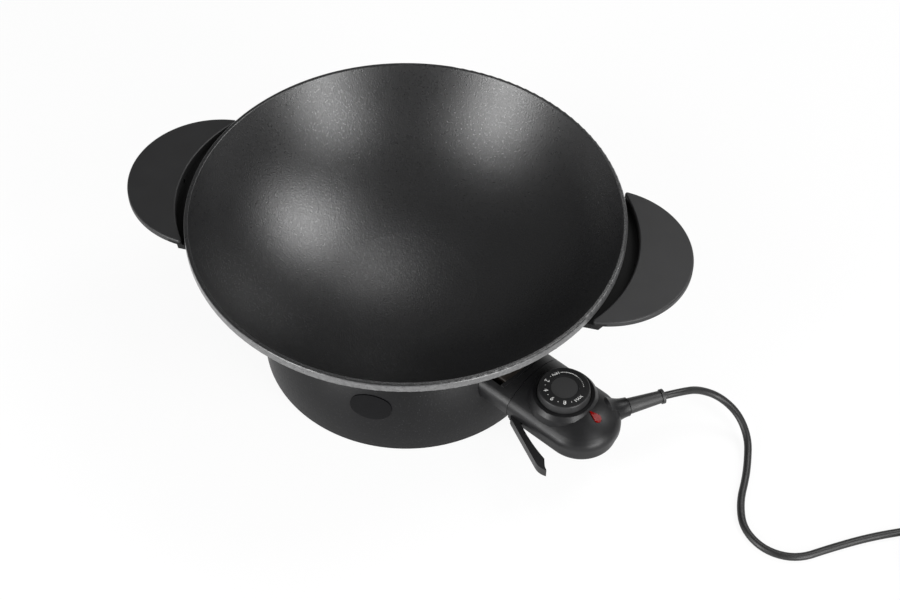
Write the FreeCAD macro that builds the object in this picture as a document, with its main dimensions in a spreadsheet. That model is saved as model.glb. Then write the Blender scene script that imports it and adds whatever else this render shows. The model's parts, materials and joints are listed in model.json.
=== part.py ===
import FreeCAD, Part
import math
import os
import re
import Sketcher
from FreeCAD import Placement, Rotation, Vector

# Electric wok: a cast bowl on a moulded foot, with a plug-in thermostat on its mains lead.
# Frame: +Z up, the origin on the bowl's axis at table level, +X along the handles,
# -Y towards the badge. Pieces round the socket are drawn with +X along the probe and are
# turned into place about Z. Lengths are millimetres, angles are degrees.

DIMENSIONS = {
    # bowl
    "rim_radius": 180.0,
    "rim_height": 160.0,
    "rim_band": 7.8,
    "rim_land": 3.4,
    "rim_round": 1.4,
    "band_round": 0.8,
    "lip_round": 0.5,
    "bowl_wall": 4.0,
    "floor_curve": 240.0,
    "floor_reach": 60.0,
    "floor_gap": 4.4375,
    # element, its cast rib and the clearance of what is seated
    "ring_inset": 33.5,
    "element_radius": 4.0,
    "element_drop": 3.0,
    "element_overrun": 1.9,
    "bend_radius": 12.0,
    "terminal_offset": 13.0,
    "rib_wall": 3.4,
    "rib_gap_angle": 50.0,
    "seat_clearance": 0.1,
    "passage_clearance": 1.5,
    # screws
    "small_screw_head": 2.8,
    "small_screw_height": 1.8,
    "small_screw_shank": 1.5,
    "large_screw_head": 4.0,
    "large_screw_height": 2.4,
    "large_screw_shank": 2.0,
    "screw_clearance": 0.2,
    # terminals, probe well and bracket
    "pin_radius": 2.0,
    "pin_length": 24.0,
    "pin_round": 0.8,
    "bead_radius": 4.0,
    "bead_length": 3.0,
    "probe_azimuth": 28.0,
    "probe_radius": 3.1,
    "probe_round": 1.2,
    "probe_clearance": 0.35,
    "well_radius": 4.5,
    "well_length": 33.5,
    "well_end": 6.0,
    "saddle_length": 16.0,
    "saddle_half_width": 7.5,
    "saddle_wall": 2.0,
    "bracket_standoff": 25.1,
    "bracket_leg": 17.1,
    "bracket_inset": 3.0,
    "bracket_drop": 12.0,
    "bracket_gap": 2.40,
    "bracket_sheet": 1.6,
    "bracket_screw_inset": 9.1,
    "bracket_screw_offset": 22.0,
    "bracket_boss_radius": 4.0,
    "bracket_screw_depth": 4.5,
    # dome section shared by the socket guard and the thermostat
    "dome_half_width": 33.0,
    "crown_rise": 11.0,
    "dome_shoulder": 11.0,
    "shoulder_drop": 7.0,
    # socket guard
    "guard_length": 45.9,
    "guard_drop": 13.0,
    "guard_wall": 2.6,
    "guard_screw_inset": 8.0,
    "guard_screw_drop": 5.0,
    "guard_screw_length": 8.0,
    "guard_fit": 0.4,
    "slot_margin": 8.9,
    "lip_setback": 8.6,
    "lip_inset": 8.5,
    "lip_sweep": 57.0,
    "lip_width": 2.8,
    "lip_rise": 1.2,
    "lip_bond": 0.4,
    # foot
    "skirt_radius": 123.3,
    "skirt_lift": 2.2,
    "skirt_band_top": 7.0,
    "skirt_top_radius": 103.5,
    "skirt_rise": 7.0,
    "skirt_curve": 142.0,
    "skirt_wall": 2.6,
    "flange_top": 71.0,
    "flange_thickness": 2.5,
    "flange_width": 17.5,
    "bowl_screw_inset": 10.5,
    "bowl_screw_start": 32.0,
    "bowl_screw_depth": 5.0,
    "bowl_boss_radius": 5.6,
    "washer_thickness": 1.5,
    "post_inset": 17.3,
    "post_radius": 4.5,
    "post_height": 22.0,
    "post_start": 17.0,
    "post_web": 1.3,
    "post_web_top": 16.0,
    "post_screw_depth": 12.0,
    "plate_thickness": 1.6,
    "plate_gap": 0.3,
    "foot_height": 3.8,
    "foot_radius": 9.0,
    "foot_inset": 23.3,
    "foot_stem_radius": 2.4,
    "foot_barb_radius": 3.6,
    "foot_barb_height": 1.8,
    "shield_drop": 12.0,
    "shield_margin": 9.0,
    "shield_gap": 2.0,
    "shield_rim_inset": 4.5,
    "shield_sheet": 0.8,
    # badge
    "badge_width": 35.0,
    "badge_height": 22.0,
    "badge_end_round": 9.0,
    "badge_centre_height": 47.0,
    "badge_thickness": 1.1,
    "badge_span": 30.0,
    # handles
    "handle_reach": 55.7,
    "handle_radius": 73.1,
    "handle_drop": 5.6,
    "handle_thickness": 4.8,
    "handle_opening": 11.0,
    "handle_inner_radius": 120.0,
    "handle_wall": 3.0,
    "handle_web_thickness": 5.0,
    "handle_web_radius": 174.0,
    "handle_web_inset": 6.0,
    "handle_web_gap": 0.6,
    "handle_tip": 4.0,
    "handle_round": 1.4,
    "handle_corner_round": 2.0,
    "handle_rib": 2.4,
    "handle_rib_depth": 4.0,
    "handle_rib_margin": 9.0,
    "handle_rib_tuck": 1.0,
    "handle_rib_spacing": 24.0,
    "lug_sink": 30.0,
    "lug_gap": 2.0,
    "lug_half_width": 24.0,
    "lug_thickness": 8.0,
    "lug_drop": 19.0,
    "handle_screw_overhang": 2.0,
    "handle_screw_offset": 14.0,
    "handle_screw_depth": 4.0,
    # thermostat housing
    "housing_gap": 0.4,
    "bulb_run": 19.1,
    "shell_wall": 2.6,
    "part_drop": 8.0,
    "rim_depth": 2.4,
    "tub_inset": 2.0,
    "tub_depth": 14.0,
    "tub_round": 4.0,
    "neck_angle": 62.0,
    "neck_radius": 8.0,
    "neck_length": 8.5,
    "neck_sink": 9.0,
    "neck_flare_radius": 14.5,
    "nose_front": 29.4,
    "nose_back": 6.6,
    "nose_half_width": 18.0,
    "nose_rise": 4.0,
    "nose_round": 1.5,
    "receptacle_radius": 3.2,
    "receptacle_length": 29.0,
    "contact_gap": 0.3,
    "shell_boss_radius": 3.2,
    "shell_boss_setback": 10.1,
    "shell_boss_inset": 11.5,
    "shell_boss_gap": 1.5,
    "shell_boss_height": 10.0,
    "shell_post_radius": 4.2,
    "shell_screw_depth": 8.0,
    "shell_screw_sink": 3.0,
    "switch_front": 16.9,
    "switch_back": 15.1,
    "switch_half_width": 14.0,
    "switch_gap": 0.3,
    "switch_collar": 2.5,
    "switch_collar_length": 5.0,
    # knob
    "knob_reach": 31.5,
    "knob_radius": 20.8,
    "knob_flare": 1.2,
    "knob_height": 8.4,
    "knob_lift": 0.6,
    "knob_wall": 2.0,
    "knob_gap": 0.4,
    "knob_round": 1.0,
    "knob_disc_radius": 11.8,
    "knob_disc_step": 0.4,
    "recess_depth": 2.5,
    "collar_height": 10.5,
    "collar_foot": 1.3,
    "collar_slope": 4.2,
    "collar_spread": 2.8,
    "collar_land": 3.0,
    "collar_rise": 1.5,
    "collar_round": 0.8,
    "bearing_radius": 6.0,
    "bearing_length": 8.0,
    "spindle_radius": 3.0,
    "spindle_reach": 6.0,
    "spindle_clearance": 0.05,
    # lens and lamp
    "lens_run": 13.5,
    "lens_length": 11.6,
    "lens_width": 6.6,
    "lens_rise": 1.2,
    "lens_depth": 10.0,
    "lamp_radius": 2.4,
    "lamp_length": 8.0,
    "lamp_round": 1.5,
    # ejector lever
    "lever_pin_setback": 8.6,
    "lever_pin_inset": 2.0,
    "lever_pin_radius": 1.6,
    "lever_pin_hold": 1.5,
    "lever_hub_radius": 4.8,
    "lever_length": 57.5,
    "lever_width": 5.2,
    "lever_angle": 25.0,
    "lever_slack": 0.3,
    "lever_margin": 1.0,
    "lever_wall": 1.6,
    "lever_hook_reach": 46.5,
    "lever_hook_rise": 2.9,
    "lever_notch": 4.0,
    "lever_tip_curve": 14.0,
    "lever_back_curve": 160.0,
    # strain relief, lead and plug
    "relief_root": 6.0,
    "relief_root_radius": 5.0,
    "relief_gap": 0.9,
    "relief_length": 32.5,
    "relief_radius": 6.8,
    "relief_tip_radius": 5.3,
    "relief_flange_radius": 6.3,
    "relief_flange": 2.4,
    "cord_diameter": 6.4,
    "coil_centre_x": 495.5,
    "coil_centre_y": -124.0,
    "coil_turn_radius": 44.8,
    "coil_turns_across": 3.0,
    "coil_layers": 2.0,
    "plug_radius": 18.7,
    "plug_thickness": 18.0,
    "plug_round": 2.5,
    "plug_centre_x": 475.0,
    "plug_centre_y": -199.8,
    "plug_azimuth": 22.5,
    "plug_pin_radius": 2.4,
    "plug_pin_length": 19.0,
    "plug_pin_spacing": 19.0,
    "plug_pin_round": 1.0,
    "plug_neck_radius": 5.5,
    "plug_neck_length": 14.0,
}

# Places and radii that follow from the sizes above, in the same words. Reaches in the
# probe's frame are measured from the bowl's axis, heights from the table.
PLACES = {
    # The bowl's inside is two tangent arcs: a flatter floor, and a rounder side up to the lip.
    "boss_face": "flange_top + washer_thickness",
    "floor_height": "boss_face + floor_gap - floor_curve + sqrt(floor_curve^2 - flange_inner_radius^2)",
    "floor_lean": "floor_reach / floor_curve",
    "floor_slope": "sqrt(1 - floor_lean^2)",
    "joint_height": "floor_height + floor_curve * (1 - floor_slope)",
    "lip_radius": "rim_radius - rim_land",
    "side_run": "lip_radius - floor_reach",
    "side_rise": "rim_height - joint_height",
    "side_curve": "(side_run^2 + side_rise^2) / (2 * (side_rise * floor_slope - side_run * floor_lean))",
    "side_centre": "floor_reach - side_curve * floor_lean",
    "side_centre_height": "joint_height + side_curve * floor_slope",
    "band_height": "rim_height - rim_band",
    # element, terminals, bracket and probe
    "ring_radius": "skirt_top_radius - ring_inset",
    "element_height": "floor_height - element_drop",
    "bracket_face": "ring_radius + bracket_standoff",
    "bracket_back": "bracket_face - bracket_sheet",
    "bracket_start": "bracket_face - bracket_leg",
    "bracket_half_width": "dome_half_width - bracket_inset",
    "bracket_bottom": "element_height - bracket_drop",
    "side_over_bracket": "sqrt((side_curve + bowl_wall)^2 - (bracket_start - side_centre)^2)",
    "bracket_top": "side_centre_height - side_over_bracket - bracket_gap",
    "bracket_screw_reach": "bracket_face - bracket_screw_inset",
    "element_end": "bracket_face + element_overrun",
    "pin_tip": "element_end + pin_length",
    "well_start": "bracket_back - well_length",
    "probe_tip": "well_start + well_end",
    # dome section and socket guard
    "dome_crown": "element_height + crown_rise",
    "dome_side_top": "element_height - shoulder_drop",
    "guard_face": "bracket_face + guard_length",
    "guard_bottom": "element_height - guard_drop",
    "guard_screw_offset": "dome_half_width - guard_screw_inset",
    "guard_screw_height": "element_height - guard_screw_drop",
    "slot_start": "bracket_face + slot_margin",
    "lip_reach": "guard_face - lip_setback",
    "lip_half_width": "dome_half_width - lip_inset",
    # foot
    "skirt_top": "flange_top + skirt_rise",
    "flange_face": "flange_top - flange_thickness",
    "flange_inner_radius": "skirt_top_radius - flange_width",
    "bowl_screw_circle": "skirt_top_radius - bowl_screw_inset",
    "plate_face": "foot_height + plate_thickness",
    "post_circle": "skirt_radius - post_inset",
    "foot_circle": "skirt_radius - foot_inset",
    "shield_floor": "element_height - shield_drop",
    "shield_floor_radius": "ring_radius + shield_margin",
    "shield_top_radius": "flange_inner_radius - shield_gap",
    "shield_rim_radius": "skirt_top_radius - shield_rim_inset",
    # handles
    "handle_centre": "rim_radius + handle_reach - handle_radius",
    "handle_inner_centre": "rim_radius + handle_opening - handle_inner_radius",
    "handle_top": "rim_height - handle_drop",
    "handle_web_centre": "rim_radius - handle_web_inset - handle_web_radius",
    "lug_root": "rim_radius - lug_sink",
    "lug_reach": "rim_radius + handle_opening - lug_gap",
    "lug_top": "rim_height - lug_drop",
    "handle_screw_reach": "rim_radius + handle_screw_overhang",
    # thermostat housing
    "shell_face": "guard_face + housing_gap",
    "knob_place": "shell_face + knob_reach",
    "bulb_reach": "knob_place + bulb_run",
    "part_line": "element_height - part_drop",
    "rim_face": "part_line - rim_depth",
    "tub_bottom": "part_line - tub_depth",
    "floor_face": "tub_bottom + shell_wall",
    "neck_end": "dome_half_width + neck_length",
    "neck_flare_start": "dome_half_width - neck_sink",
    "nose_start": "shell_face - nose_front",
    "nose_end": "shell_face + nose_back",
    "nose_top": "element_height + nose_rise",
    "lens_reach": "bulb_reach + lens_run",
    "lens_bottom": "dome_crown - lens_depth",
    "shell_boss_front": "shell_face + shell_boss_setback",
    "shell_boss_offset": "dome_half_width - shell_boss_inset",
    "shell_boss_back": "lens_reach + lens_length / 2 + shell_boss_radius + shell_boss_gap",
    "switch_start": "knob_place - switch_front",
    "switch_end": "knob_place + switch_back",
    "lever_pin_reach": "shell_face + lever_pin_setback",
    "lever_pin_offset": "dome_half_width - lever_pin_inset",
    "relief_root_start": "dome_half_width - relief_root",
    "relief_end": "neck_end + relief_length",
    # knob and the collar round it
    "collar_top": "dome_crown + collar_rise",
    "collar_ridge": "collar_top - collar_slope",
    "collar_base": "collar_top - collar_height",
    "recess_floor": "collar_top - recess_depth",
    "bearing_bottom": "recess_floor - bearing_length",
    "spindle_bottom": "bearing_bottom - spindle_reach",
    "knob_bottom": "recess_floor + knob_lift",
    "knob_top": "knob_bottom + knob_height",
    "knob_base_radius": "knob_radius + knob_flare",
    "recess_radius": "knob_base_radius + knob_gap",
    "collar_radius": "recess_radius + collar_land",
    "collar_ridge_radius": "collar_radius + collar_spread",
    "collar_base_radius": "collar_ridge_radius + collar_foot",
}

# An edge within this distance of where it is sought is the one.
EDGE_MATCH = 0.01

document = FreeCAD.newDocument("electric_wok")
sheet = document.addObject("Spreadsheet::Sheet", "dims")
for row, (alias, size) in enumerate(DIMENSIONS.items(), start=1):
    sheet.set("A%d" % row, alias)
    sheet.set("B%d" % row, str(size))
    sheet.setAlias("B%d" % row, alias)
document.recompute()

nodes = []


def link(formula):
    """Turn a formula in plain words into one that names the spreadsheet's cells."""
    def cell(match):
        word = match.group()
        if word in PLACES:
            return "(%s)" % link(PLACES[word])
        return "dims." + word if word in DIMENSIONS else word
    return re.sub(r"[a-z][a-z_]*", cell, formula)


def number(formula):
    """The present value of a formula."""
    result = sheet.evalExpression(link(formula))
    return float(getattr(result, "Value", result))


def bind(thing, **formulas):
    """Bind properties to formulas; two underscores stand for a dot."""
    for name, formula in formulas.items():
        thing.setExpression(name.replace("__", "."), link(formula))


# ---------------------------------------------------------------- drawing helpers

def bind_constraint(sketch, kind, where, formula):
    index = sketch.addConstraint(Sketcher.Constraint(kind, *where, number(formula)))
    sketch.setExpression("Constraints[%d]" % index, link(formula))


def add_edge(sketch, start, end, bend):
    """Add a line, or an arc that turns left (+1) or right (-1); return its ends in order."""
    if not bend:
        return sketch.addGeometry(Part.LineSegment(start, end)), 1, 2
    formula, turn = bend
    radius = number(formula)
    chord = end - start
    middle = (start + end) * 0.5
    left = Vector(-chord.y, chord.x, 0).normalize()
    rise = math.sqrt(max(radius ** 2 - (chord.Length / 2) ** 2, 0.0))
    centre = middle + left * (rise * turn)
    first, last = (start, end) if turn > 0 else (end, start)
    first_angle = math.atan2(first.y - centre.y, first.x - centre.x)
    last_angle = math.atan2(last.y - centre.y, last.x - centre.x)
    circle = Part.Circle(centre, Vector(0, 0, 1), radius)
    edge = sketch.addGeometry(Part.ArcOfCircle(circle, first_angle, last_angle))
    bind_constraint(sketch, "Radius", (edge,), formula)
    return (edge, 1, 2) if turn > 0 else (edge, 2, 1)


def draw_outline(sketch, corners, closed=True):
    """Draw edges through corners (x, y) or (x, y, radius, turn), each bound to its formulas."""
    points = [Vector(number(corner[0]), number(corner[1]), 0) for corner in corners]
    count = len(corners)
    edges = []
    for i in range(count if closed else count - 1):
        bend = corners[i][2:]
        edges.append(add_edge(sketch, points[i], points[(i + 1) % count], bend))
    for i, corner in enumerate(corners):
        if i < len(edges):
            edge, here = edges[i][0], edges[i][1]
        else:
            edge, here = edges[-1][0], edges[-1][2]
        bind_constraint(sketch, "DistanceX", (-1, 1, edge, here), corner[0])
        bind_constraint(sketch, "DistanceY", (-1, 1, edge, here), corner[1])
    joints = range(count) if closed else range(1, count - 1)
    for i in joints:
        before, after = edges[i - 1], edges[i]
        sketch.addConstraint(Sketcher.Constraint("Coincident", before[0], before[2], after[0], after[1]))


def draw_circle(sketch, x, y, radius):
    centre = Vector(number(x), number(y), 0)
    edge = sketch.addGeometry(Part.Circle(centre, Vector(0, 0, 1), number(radius)))
    bind_constraint(sketch, "Radius", (edge,), radius)
    bind_constraint(sketch, "DistanceX", (-1, 1, edge, 3), x)
    bind_constraint(sketch, "DistanceY", (-1, 1, edge, 3), y)


def box(x_low, y_low, x_high, y_high):
    return [(x_low, y_low), (x_high, y_low), (x_high, y_high), (x_low, y_high)]


def new_sketch(body, plane, loops, offset=("0", "0", "0"), swing=None, spin=None, closed=True):
    """Sketch on one of the body's origin planes, moved by offset.

    A swing turns it about the plane's own Y, and a spin turns it in the plane.
    """
    sketch = body.newObject("Sketcher::SketchObject", "sketch")
    support = next(item for item in body.Origin.OriginFeatures if item.Role == plane)
    sketch.AttachmentSupport = [(support, "")]
    sketch.MapMode = "FlatFace"
    if swing or spin:
        axis = Vector(0, 1, 0) if swing else Vector(0, 0, 1)
        sketch.AttachmentOffset = Placement(Vector(), Rotation(axis, 1))
        bind(sketch, AttachmentOffset__Rotation__Angle=swing or spin)
    for direction, formula in zip("xyz", offset):
        if formula != "0":
            sketch.setExpression("AttachmentOffset.Base." + direction, link(formula))
    for loop in loops:
        if isinstance(loop, tuple):
            draw_circle(sketch, *loop)
        else:
            draw_outline(sketch, loop, closed)
    return sketch


def helper_body(label, swing=None, base=("0", "0", "0")):
    """A body turned about Z by the formula in swing, for use in a node."""
    body = document.addObject("PartDesign::Body", label)
    body.Label = label
    body.AllowCompound = True
    if swing:
        body.Placement = Placement(Vector(), Rotation(Vector(0, 0, 1), 1))
        bind(body, Placement__Rotation__Angle=swing)
    for direction, formula in zip("xyz", base):
        if formula != "0":
            body.setExpression("Placement.Base." + direction, link(formula))
    return body


def new_body(label, swing=None, base=("0", "0", "0")):
    """A body that is a node of that name."""
    body = helper_body(label, swing, base)
    nodes.append(body)
    return body


def combine(kind, label, base, tool):
    """Boolean of two objects."""
    result = document.addObject(kind, label)
    result.Label = label
    result.Base = base
    result.Tool = tool
    return result


def extrude(body, kind, plane, loops, start, length, turn=None):
    """Pad or Pocket that begins at start along the plane's normal and runs on for length.

    A turn is an angle about Z and the X of its pivot, for a sketch on the YZ plane.
    """
    offset, swing = ("0", "0", start), None
    if turn:
        swing, pivot = turn
        offset = ("(%s) * sin(%s)" % (start, swing), "0", "%s + (%s) * cos(%s)" % (pivot, start, swing))
    sketch = new_sketch(body, plane, loops, offset, swing)
    feature = body.newObject("PartDesign::" + kind, kind.lower())
    feature.Profile = sketch
    bind(feature, Length=length)
    if kind == "Pocket":
        feature.Reversed = True
    return feature


def pad(body, plane, loops, start, length, turn=None):
    return extrude(body, "Pad", plane, loops, start, length, turn)


def pocket(body, plane, loops, start, length, turn=None):
    return extrude(body, "Pocket", plane, loops, start, length, turn)


def revolve(body, kind, outline, offset=("0", "0", "0"), swing=None, angle=None):
    """Revolution or Groove about Z of an outline in the XZ plane, of all or of an angle."""
    sketch = new_sketch(body, "XZ_Plane", [outline], offset, swing)
    feature = body.newObject("PartDesign::" + kind, kind.lower())
    feature.Profile = sketch
    feature.ReferenceAxis = (sketch, ["V_Axis"])
    if angle:
        feature.Midplane = True
        bind(feature, Angle=angle)
    else:
        feature.Angle = 360
    return feature


def fillet(body, radius, chooser):
    """Round the edges of the body's present shape that the chooser picks."""
    document.recompute()
    base = body.Tip
    names = ["Edge%d" % (i + 1) for i, edge in enumerate(base.Shape.Edges) if chooser(edge)]
    if not names:
        raise RuntimeError("no edge to round on " + body.Label)
    feature = body.newObject("PartDesign::Fillet", "fillet")
    feature.Base = (base, names)
    bind(feature, Radius=radius)
    return feature


def near(size, formula):
    return abs(size - number(formula)) < EDGE_MATCH


def flat_at(edge, height):
    """Whether an edge lies flat at that height."""
    return near(edge.BoundBox.ZMin, height) and near(edge.BoundBox.ZMax, height)


def round_at(edge, radius, height):
    """Whether an edge is round, of that radius and at that height."""
    if edge.Degenerated or not isinstance(edge.Curve, Part.Circle):
        return False
    return near(edge.Curve.Radius, radius) and flat_at(edge, height)


def at_reach(edge, reach):
    """Whether an edge lies across X at that reach."""
    return near(edge.BoundBox.XMin, reach) and near(edge.BoundBox.XMax, reach)


def upright(edge):
    bounds = edge.BoundBox
    return near(bounds.XLength, "0") and near(bounds.YLength, "0") and not near(bounds.ZLength, "0")


def ring_edge(radius, height):
    return lambda edge: round_at(edge, radius, height)


def around(circle, start, count, index):
    """Centre of one of count places spread round a circle, as two formulas."""
    angle = "(%s + %g)" % (start, 360.0 * index / count)
    return "(%s * cos(%s))" % (circle, angle), "(%s * sin(%s))" % (circle, angle)


def places_around(circle, start, count):
    return [around(circle, start, count, index) for index in range(count)]


def circles(places, radius):
    return [(x, y, radius) for x, y in places]


def mirrored(x, y):
    """The same place on both sides of the probe's axis."""
    return [(x, "-" + y), (x, y)]


def screws(label, places, seat, kind, length, plane="XY_Plane", swing=None, from_front=False):
    """Equal screws in one node: heads against the seat, shanks beyond it."""
    body = new_body(label, swing)
    head, height, shank = kind + "_screw_head", kind + "_screw_height", kind + "_screw_shank"
    turned = [(y, x) for x, y in places] if plane == "YZ_Plane" else places
    head_start = seat if from_front else "%s - %s" % (seat, height)
    shank_start = "%s - %s" % (seat, length) if from_front else seat
    pad(body, plane, circles(turned, head), head_start, height)
    pad(body, plane, circles(turned, shank), shank_start, length)
    return body


# ---------------------------------------------------------------- shared forms

PROBE_SWING = "-probe_azimuth"

BOWL_SCREWS = places_around("bowl_screw_circle", "bowl_screw_start", 3)
POSTS = places_around("post_circle", "post_start", 4)
FEET = places_around("foot_circle", "post_start + 45", 4)
TERMINALS = mirrored("0", "terminal_offset")
GUARD_SCREWS = mirrored("guard_screw_height", "guard_screw_offset")
BRACKET_SCREWS = mirrored("bracket_screw_reach", "bracket_screw_offset")
SHELL_SCREWS = mirrored("shell_boss_front", "shell_boss_offset") + [("shell_boss_back", "0")]
HANDLE_SCREWS = mirrored("handle_screw_reach", "handle_screw_offset")


def turned_back(place):
    """A place in the probe's frame, as formulas in the bowl's frame."""
    reach, offset = place
    return ("(%s * cos(probe_azimuth) + (%s) * sin(probe_azimuth))" % (reach, offset),
            "((%s) * cos(probe_azimuth) - %s * sin(probe_azimuth))" % (offset, reach))


DOME_RUN = "(dome_half_width - dome_shoulder)"
DOME_RISE = "(dome_crown - dome_side_top)"
DOME_CURVE = "(({run}^2 + {rise}^2 - dome_shoulder^2) / (2 * ({rise} - dome_shoulder)))".format(
    run=DOME_RUN, rise=DOME_RISE)


def dome_joint(inset):
    """Where the crown's arc meets the shoulder's, on the section inset by a wall."""
    share = "(({c} - {i}) / ({c} - dome_shoulder))".format(c=DOME_CURVE, i=inset)
    height = "(dome_crown - {c} + ({c} - {rise}) * {k})".format(c=DOME_CURVE, rise=DOME_RISE, k=share)
    return "(%s * %s)" % (DOME_RUN, share), height


def dome_outline(inset, bottom, half=False):
    """The arched section that the guard and the thermostat share, inset by a wall."""
    width = "(dome_half_width - %s)" % inset
    shoulder = "(dome_shoulder - %s)" % inset
    crown_arc = "(%s - %s)" % (DOME_CURVE, inset)
    crown = "(dome_crown - %s)" % inset
    joint_x, joint_z = dome_joint(inset)
    right = [(width, bottom), (width, "dome_side_top", shoulder, 1),
             (joint_x, joint_z, crown_arc, 1)]
    if half:
        return right + [("0", crown), ("0", bottom)]
    return right + [("0", crown, crown_arc, 1), ("-" + joint_x, joint_z, shoulder, 1),
                    ("-" + width, "dome_side_top"), ("-" + width, bottom)]


def bulb_outline(inset, start):
    """Plan of the thermostat: straight sides from start and a half-round end."""
    radius = "(dome_half_width - %s)" % inset
    return [(start, "-" + radius), ("bulb_reach", "-" + radius, radius, 1),
            ("bulb_reach + " + radius, "0", radius, 1), ("bulb_reach", radius), (start, radius)]


# ---------------------------------------------------------------- bowl and element

def bowl_reach(height, gap="0"):
    """Radius of the bowl's outer wall at a height, with a gap outside it."""
    curve = "(side_curve + bowl_wall + %s)" % gap
    return "(side_centre + sqrt(%s^2 - (side_centre_height - %s)^2))" % (curve, height)


def make_bowl():
    bowl = new_body("wok_bowl")
    revolve(bowl, "Revolution", [
        ("0", "(floor_height - bowl_wall)", "(floor_curve + bowl_wall)", 1),
        ("(floor_reach + bowl_wall * floor_lean)", "(joint_height - bowl_wall * floor_slope)",
         "(side_curve + bowl_wall)", 1),
        (bowl_reach("band_height"), "band_height"),
        ("rim_radius", "band_height"),
        ("rim_radius", "rim_height"),
        ("0", "rim_height")])
    # lugs that carry the handles, with their screw holes
    lug_bottom = "(lug_top - lug_thickness)"
    for side in ("", "-"):
        outline = [("%slug_reach" % side, "-lug_half_width"), ("%slug_reach" % side, "lug_half_width"),
                   ("%slug_root" % side, "lug_half_width"), ("%slug_root" % side, "-lug_half_width")]
        pad(bowl, "XY_Plane", [outline], lug_bottom, "lug_thickness")
        holes = [(side + x, y) for x, y in HANDLE_SCREWS]
        pocket(bowl, "XY_Plane", circles(holes, "(large_screw_shank + screw_clearance)"),
               lug_bottom, "lug_thickness")
    # cast rib round the element, open towards the socket, up through the bowl's wall
    rib_half = "(element_radius + rib_wall)"
    revolve(bowl, "Revolution",
            box("(ring_radius - %s)" % rib_half, "element_height", "(ring_radius + %s)" % rib_half,
                "band_height"),
            swing="180 - probe_azimuth", angle="360 - rib_gap_angle")
    # saddle for the probe's well
    pad(bowl, "YZ_Plane",
        [box("-saddle_half_width", "(element_height - well_radius - saddle_wall)",
             "saddle_half_width", "band_height")],
        "(well_start - saddle_wall)", "saddle_length", turn=(PROBE_SWING, "0"))
    # bosses for the foot and for the terminal bracket
    pad(bowl, "XY_Plane", circles(BOWL_SCREWS, "bowl_boss_radius"), "boss_face",
        "(band_height - boss_face)")
    bracket_places = [turned_back(place) for place in BRACKET_SCREWS]
    pad(bowl, "XY_Plane", circles(bracket_places, "bracket_boss_radius"), "bracket_top",
        "(band_height - bracket_top)")
    # inside of the bowl, which trims what reached through the wall
    revolve(bowl, "Groove", [
        ("0", "floor_height", "floor_curve", 1),
        ("floor_reach", "joint_height", "side_curve", 1),
        ("lip_radius", "rim_height"),
        ("0", "rim_height")])
    # seat of the element, bore of the well and the screws' blind holes
    revolve(bowl, "Groove", ("ring_radius", "element_height", "(element_radius + seat_clearance)"),
            swing="180 - probe_azimuth", angle="360 - rib_gap_angle")
    pocket(bowl, "YZ_Plane", [("0", "element_height", "(well_radius + seat_clearance)")],
           "well_start", "saddle_length", turn=(PROBE_SWING, "0"))
    pocket(bowl, "XY_Plane", circles(BOWL_SCREWS, "(large_screw_shank + seat_clearance)"),
           "boss_face", "bowl_screw_depth")
    pocket(bowl, "XY_Plane", circles(bracket_places, "(small_screw_shank + seat_clearance)"),
           "bracket_top", "bracket_screw_depth")
    fillet(bowl, "rim_round", ring_edge("rim_radius", "rim_height"))
    fillet(bowl, "band_round", ring_edge("rim_radius", "band_height"))
    fillet(bowl, "lip_round", ring_edge("lip_radius", "rim_height"))


def make_element():
    element = new_body("heating_element", PROBE_SWING)
    lean = "((terminal_offset + bend_radius) / (ring_radius + bend_radius))"
    flat = "sqrt(1 - %s^2)" % lean
    start_x, start_y = "(ring_radius * %s)" % flat, "(ring_radius * %s)" % lean
    bend_x = "((ring_radius + bend_radius) * %s)" % flat
    path = new_sketch(element, "XY_Plane", [[
        ("element_end", "-terminal_offset"),
        (bend_x, "-terminal_offset", "bend_radius", 1),
        (start_x, "-" + start_y, "ring_radius", -1),
        ("0", "-ring_radius", "ring_radius", -1),
        ("-ring_radius", "0", "ring_radius", -1),
        ("0", "ring_radius", "ring_radius", -1),
        (start_x, start_y, "bend_radius", 1),
        (bend_x, "terminal_offset"),
        ("element_end", "terminal_offset")]], ("0", "0", "element_height"), closed=False)
    section = new_sketch(element, "YZ_Plane", [("-terminal_offset", "element_height", "element_radius")],
                         ("0", "0", "element_end"))
    pipe = element.newObject("PartDesign::AdditivePipe", "tube")
    pipe.Profile = section
    pipe.Spine = path


def make_terminals():
    pins = new_body("terminal_pins", PROBE_SWING)
    ends = [(y, "element_height") for x, y in TERMINALS]
    pad(pins, "YZ_Plane", circles(ends, "pin_radius"), "element_end", "(pin_tip - element_end)")
    fillet(pins, "pin_round", lambda edge: at_reach(edge, "pin_tip"))
    beads = new_body("terminal_insulators", PROBE_SWING)
    pad(beads, "YZ_Plane", circles(ends, "bead_radius") + circles(ends, "(pin_radius + seat_clearance)"),
        "element_end", "bead_length")
    well = new_body("probe_well", PROBE_SWING)
    pad(well, "YZ_Plane", [("0", "element_height", "well_radius")],
        "well_start", "well_length")
    pocket(well, "YZ_Plane", [("0", "element_height", "(probe_radius + probe_clearance)")],
           "(probe_tip - probe_clearance)", "bracket_face")


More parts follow.
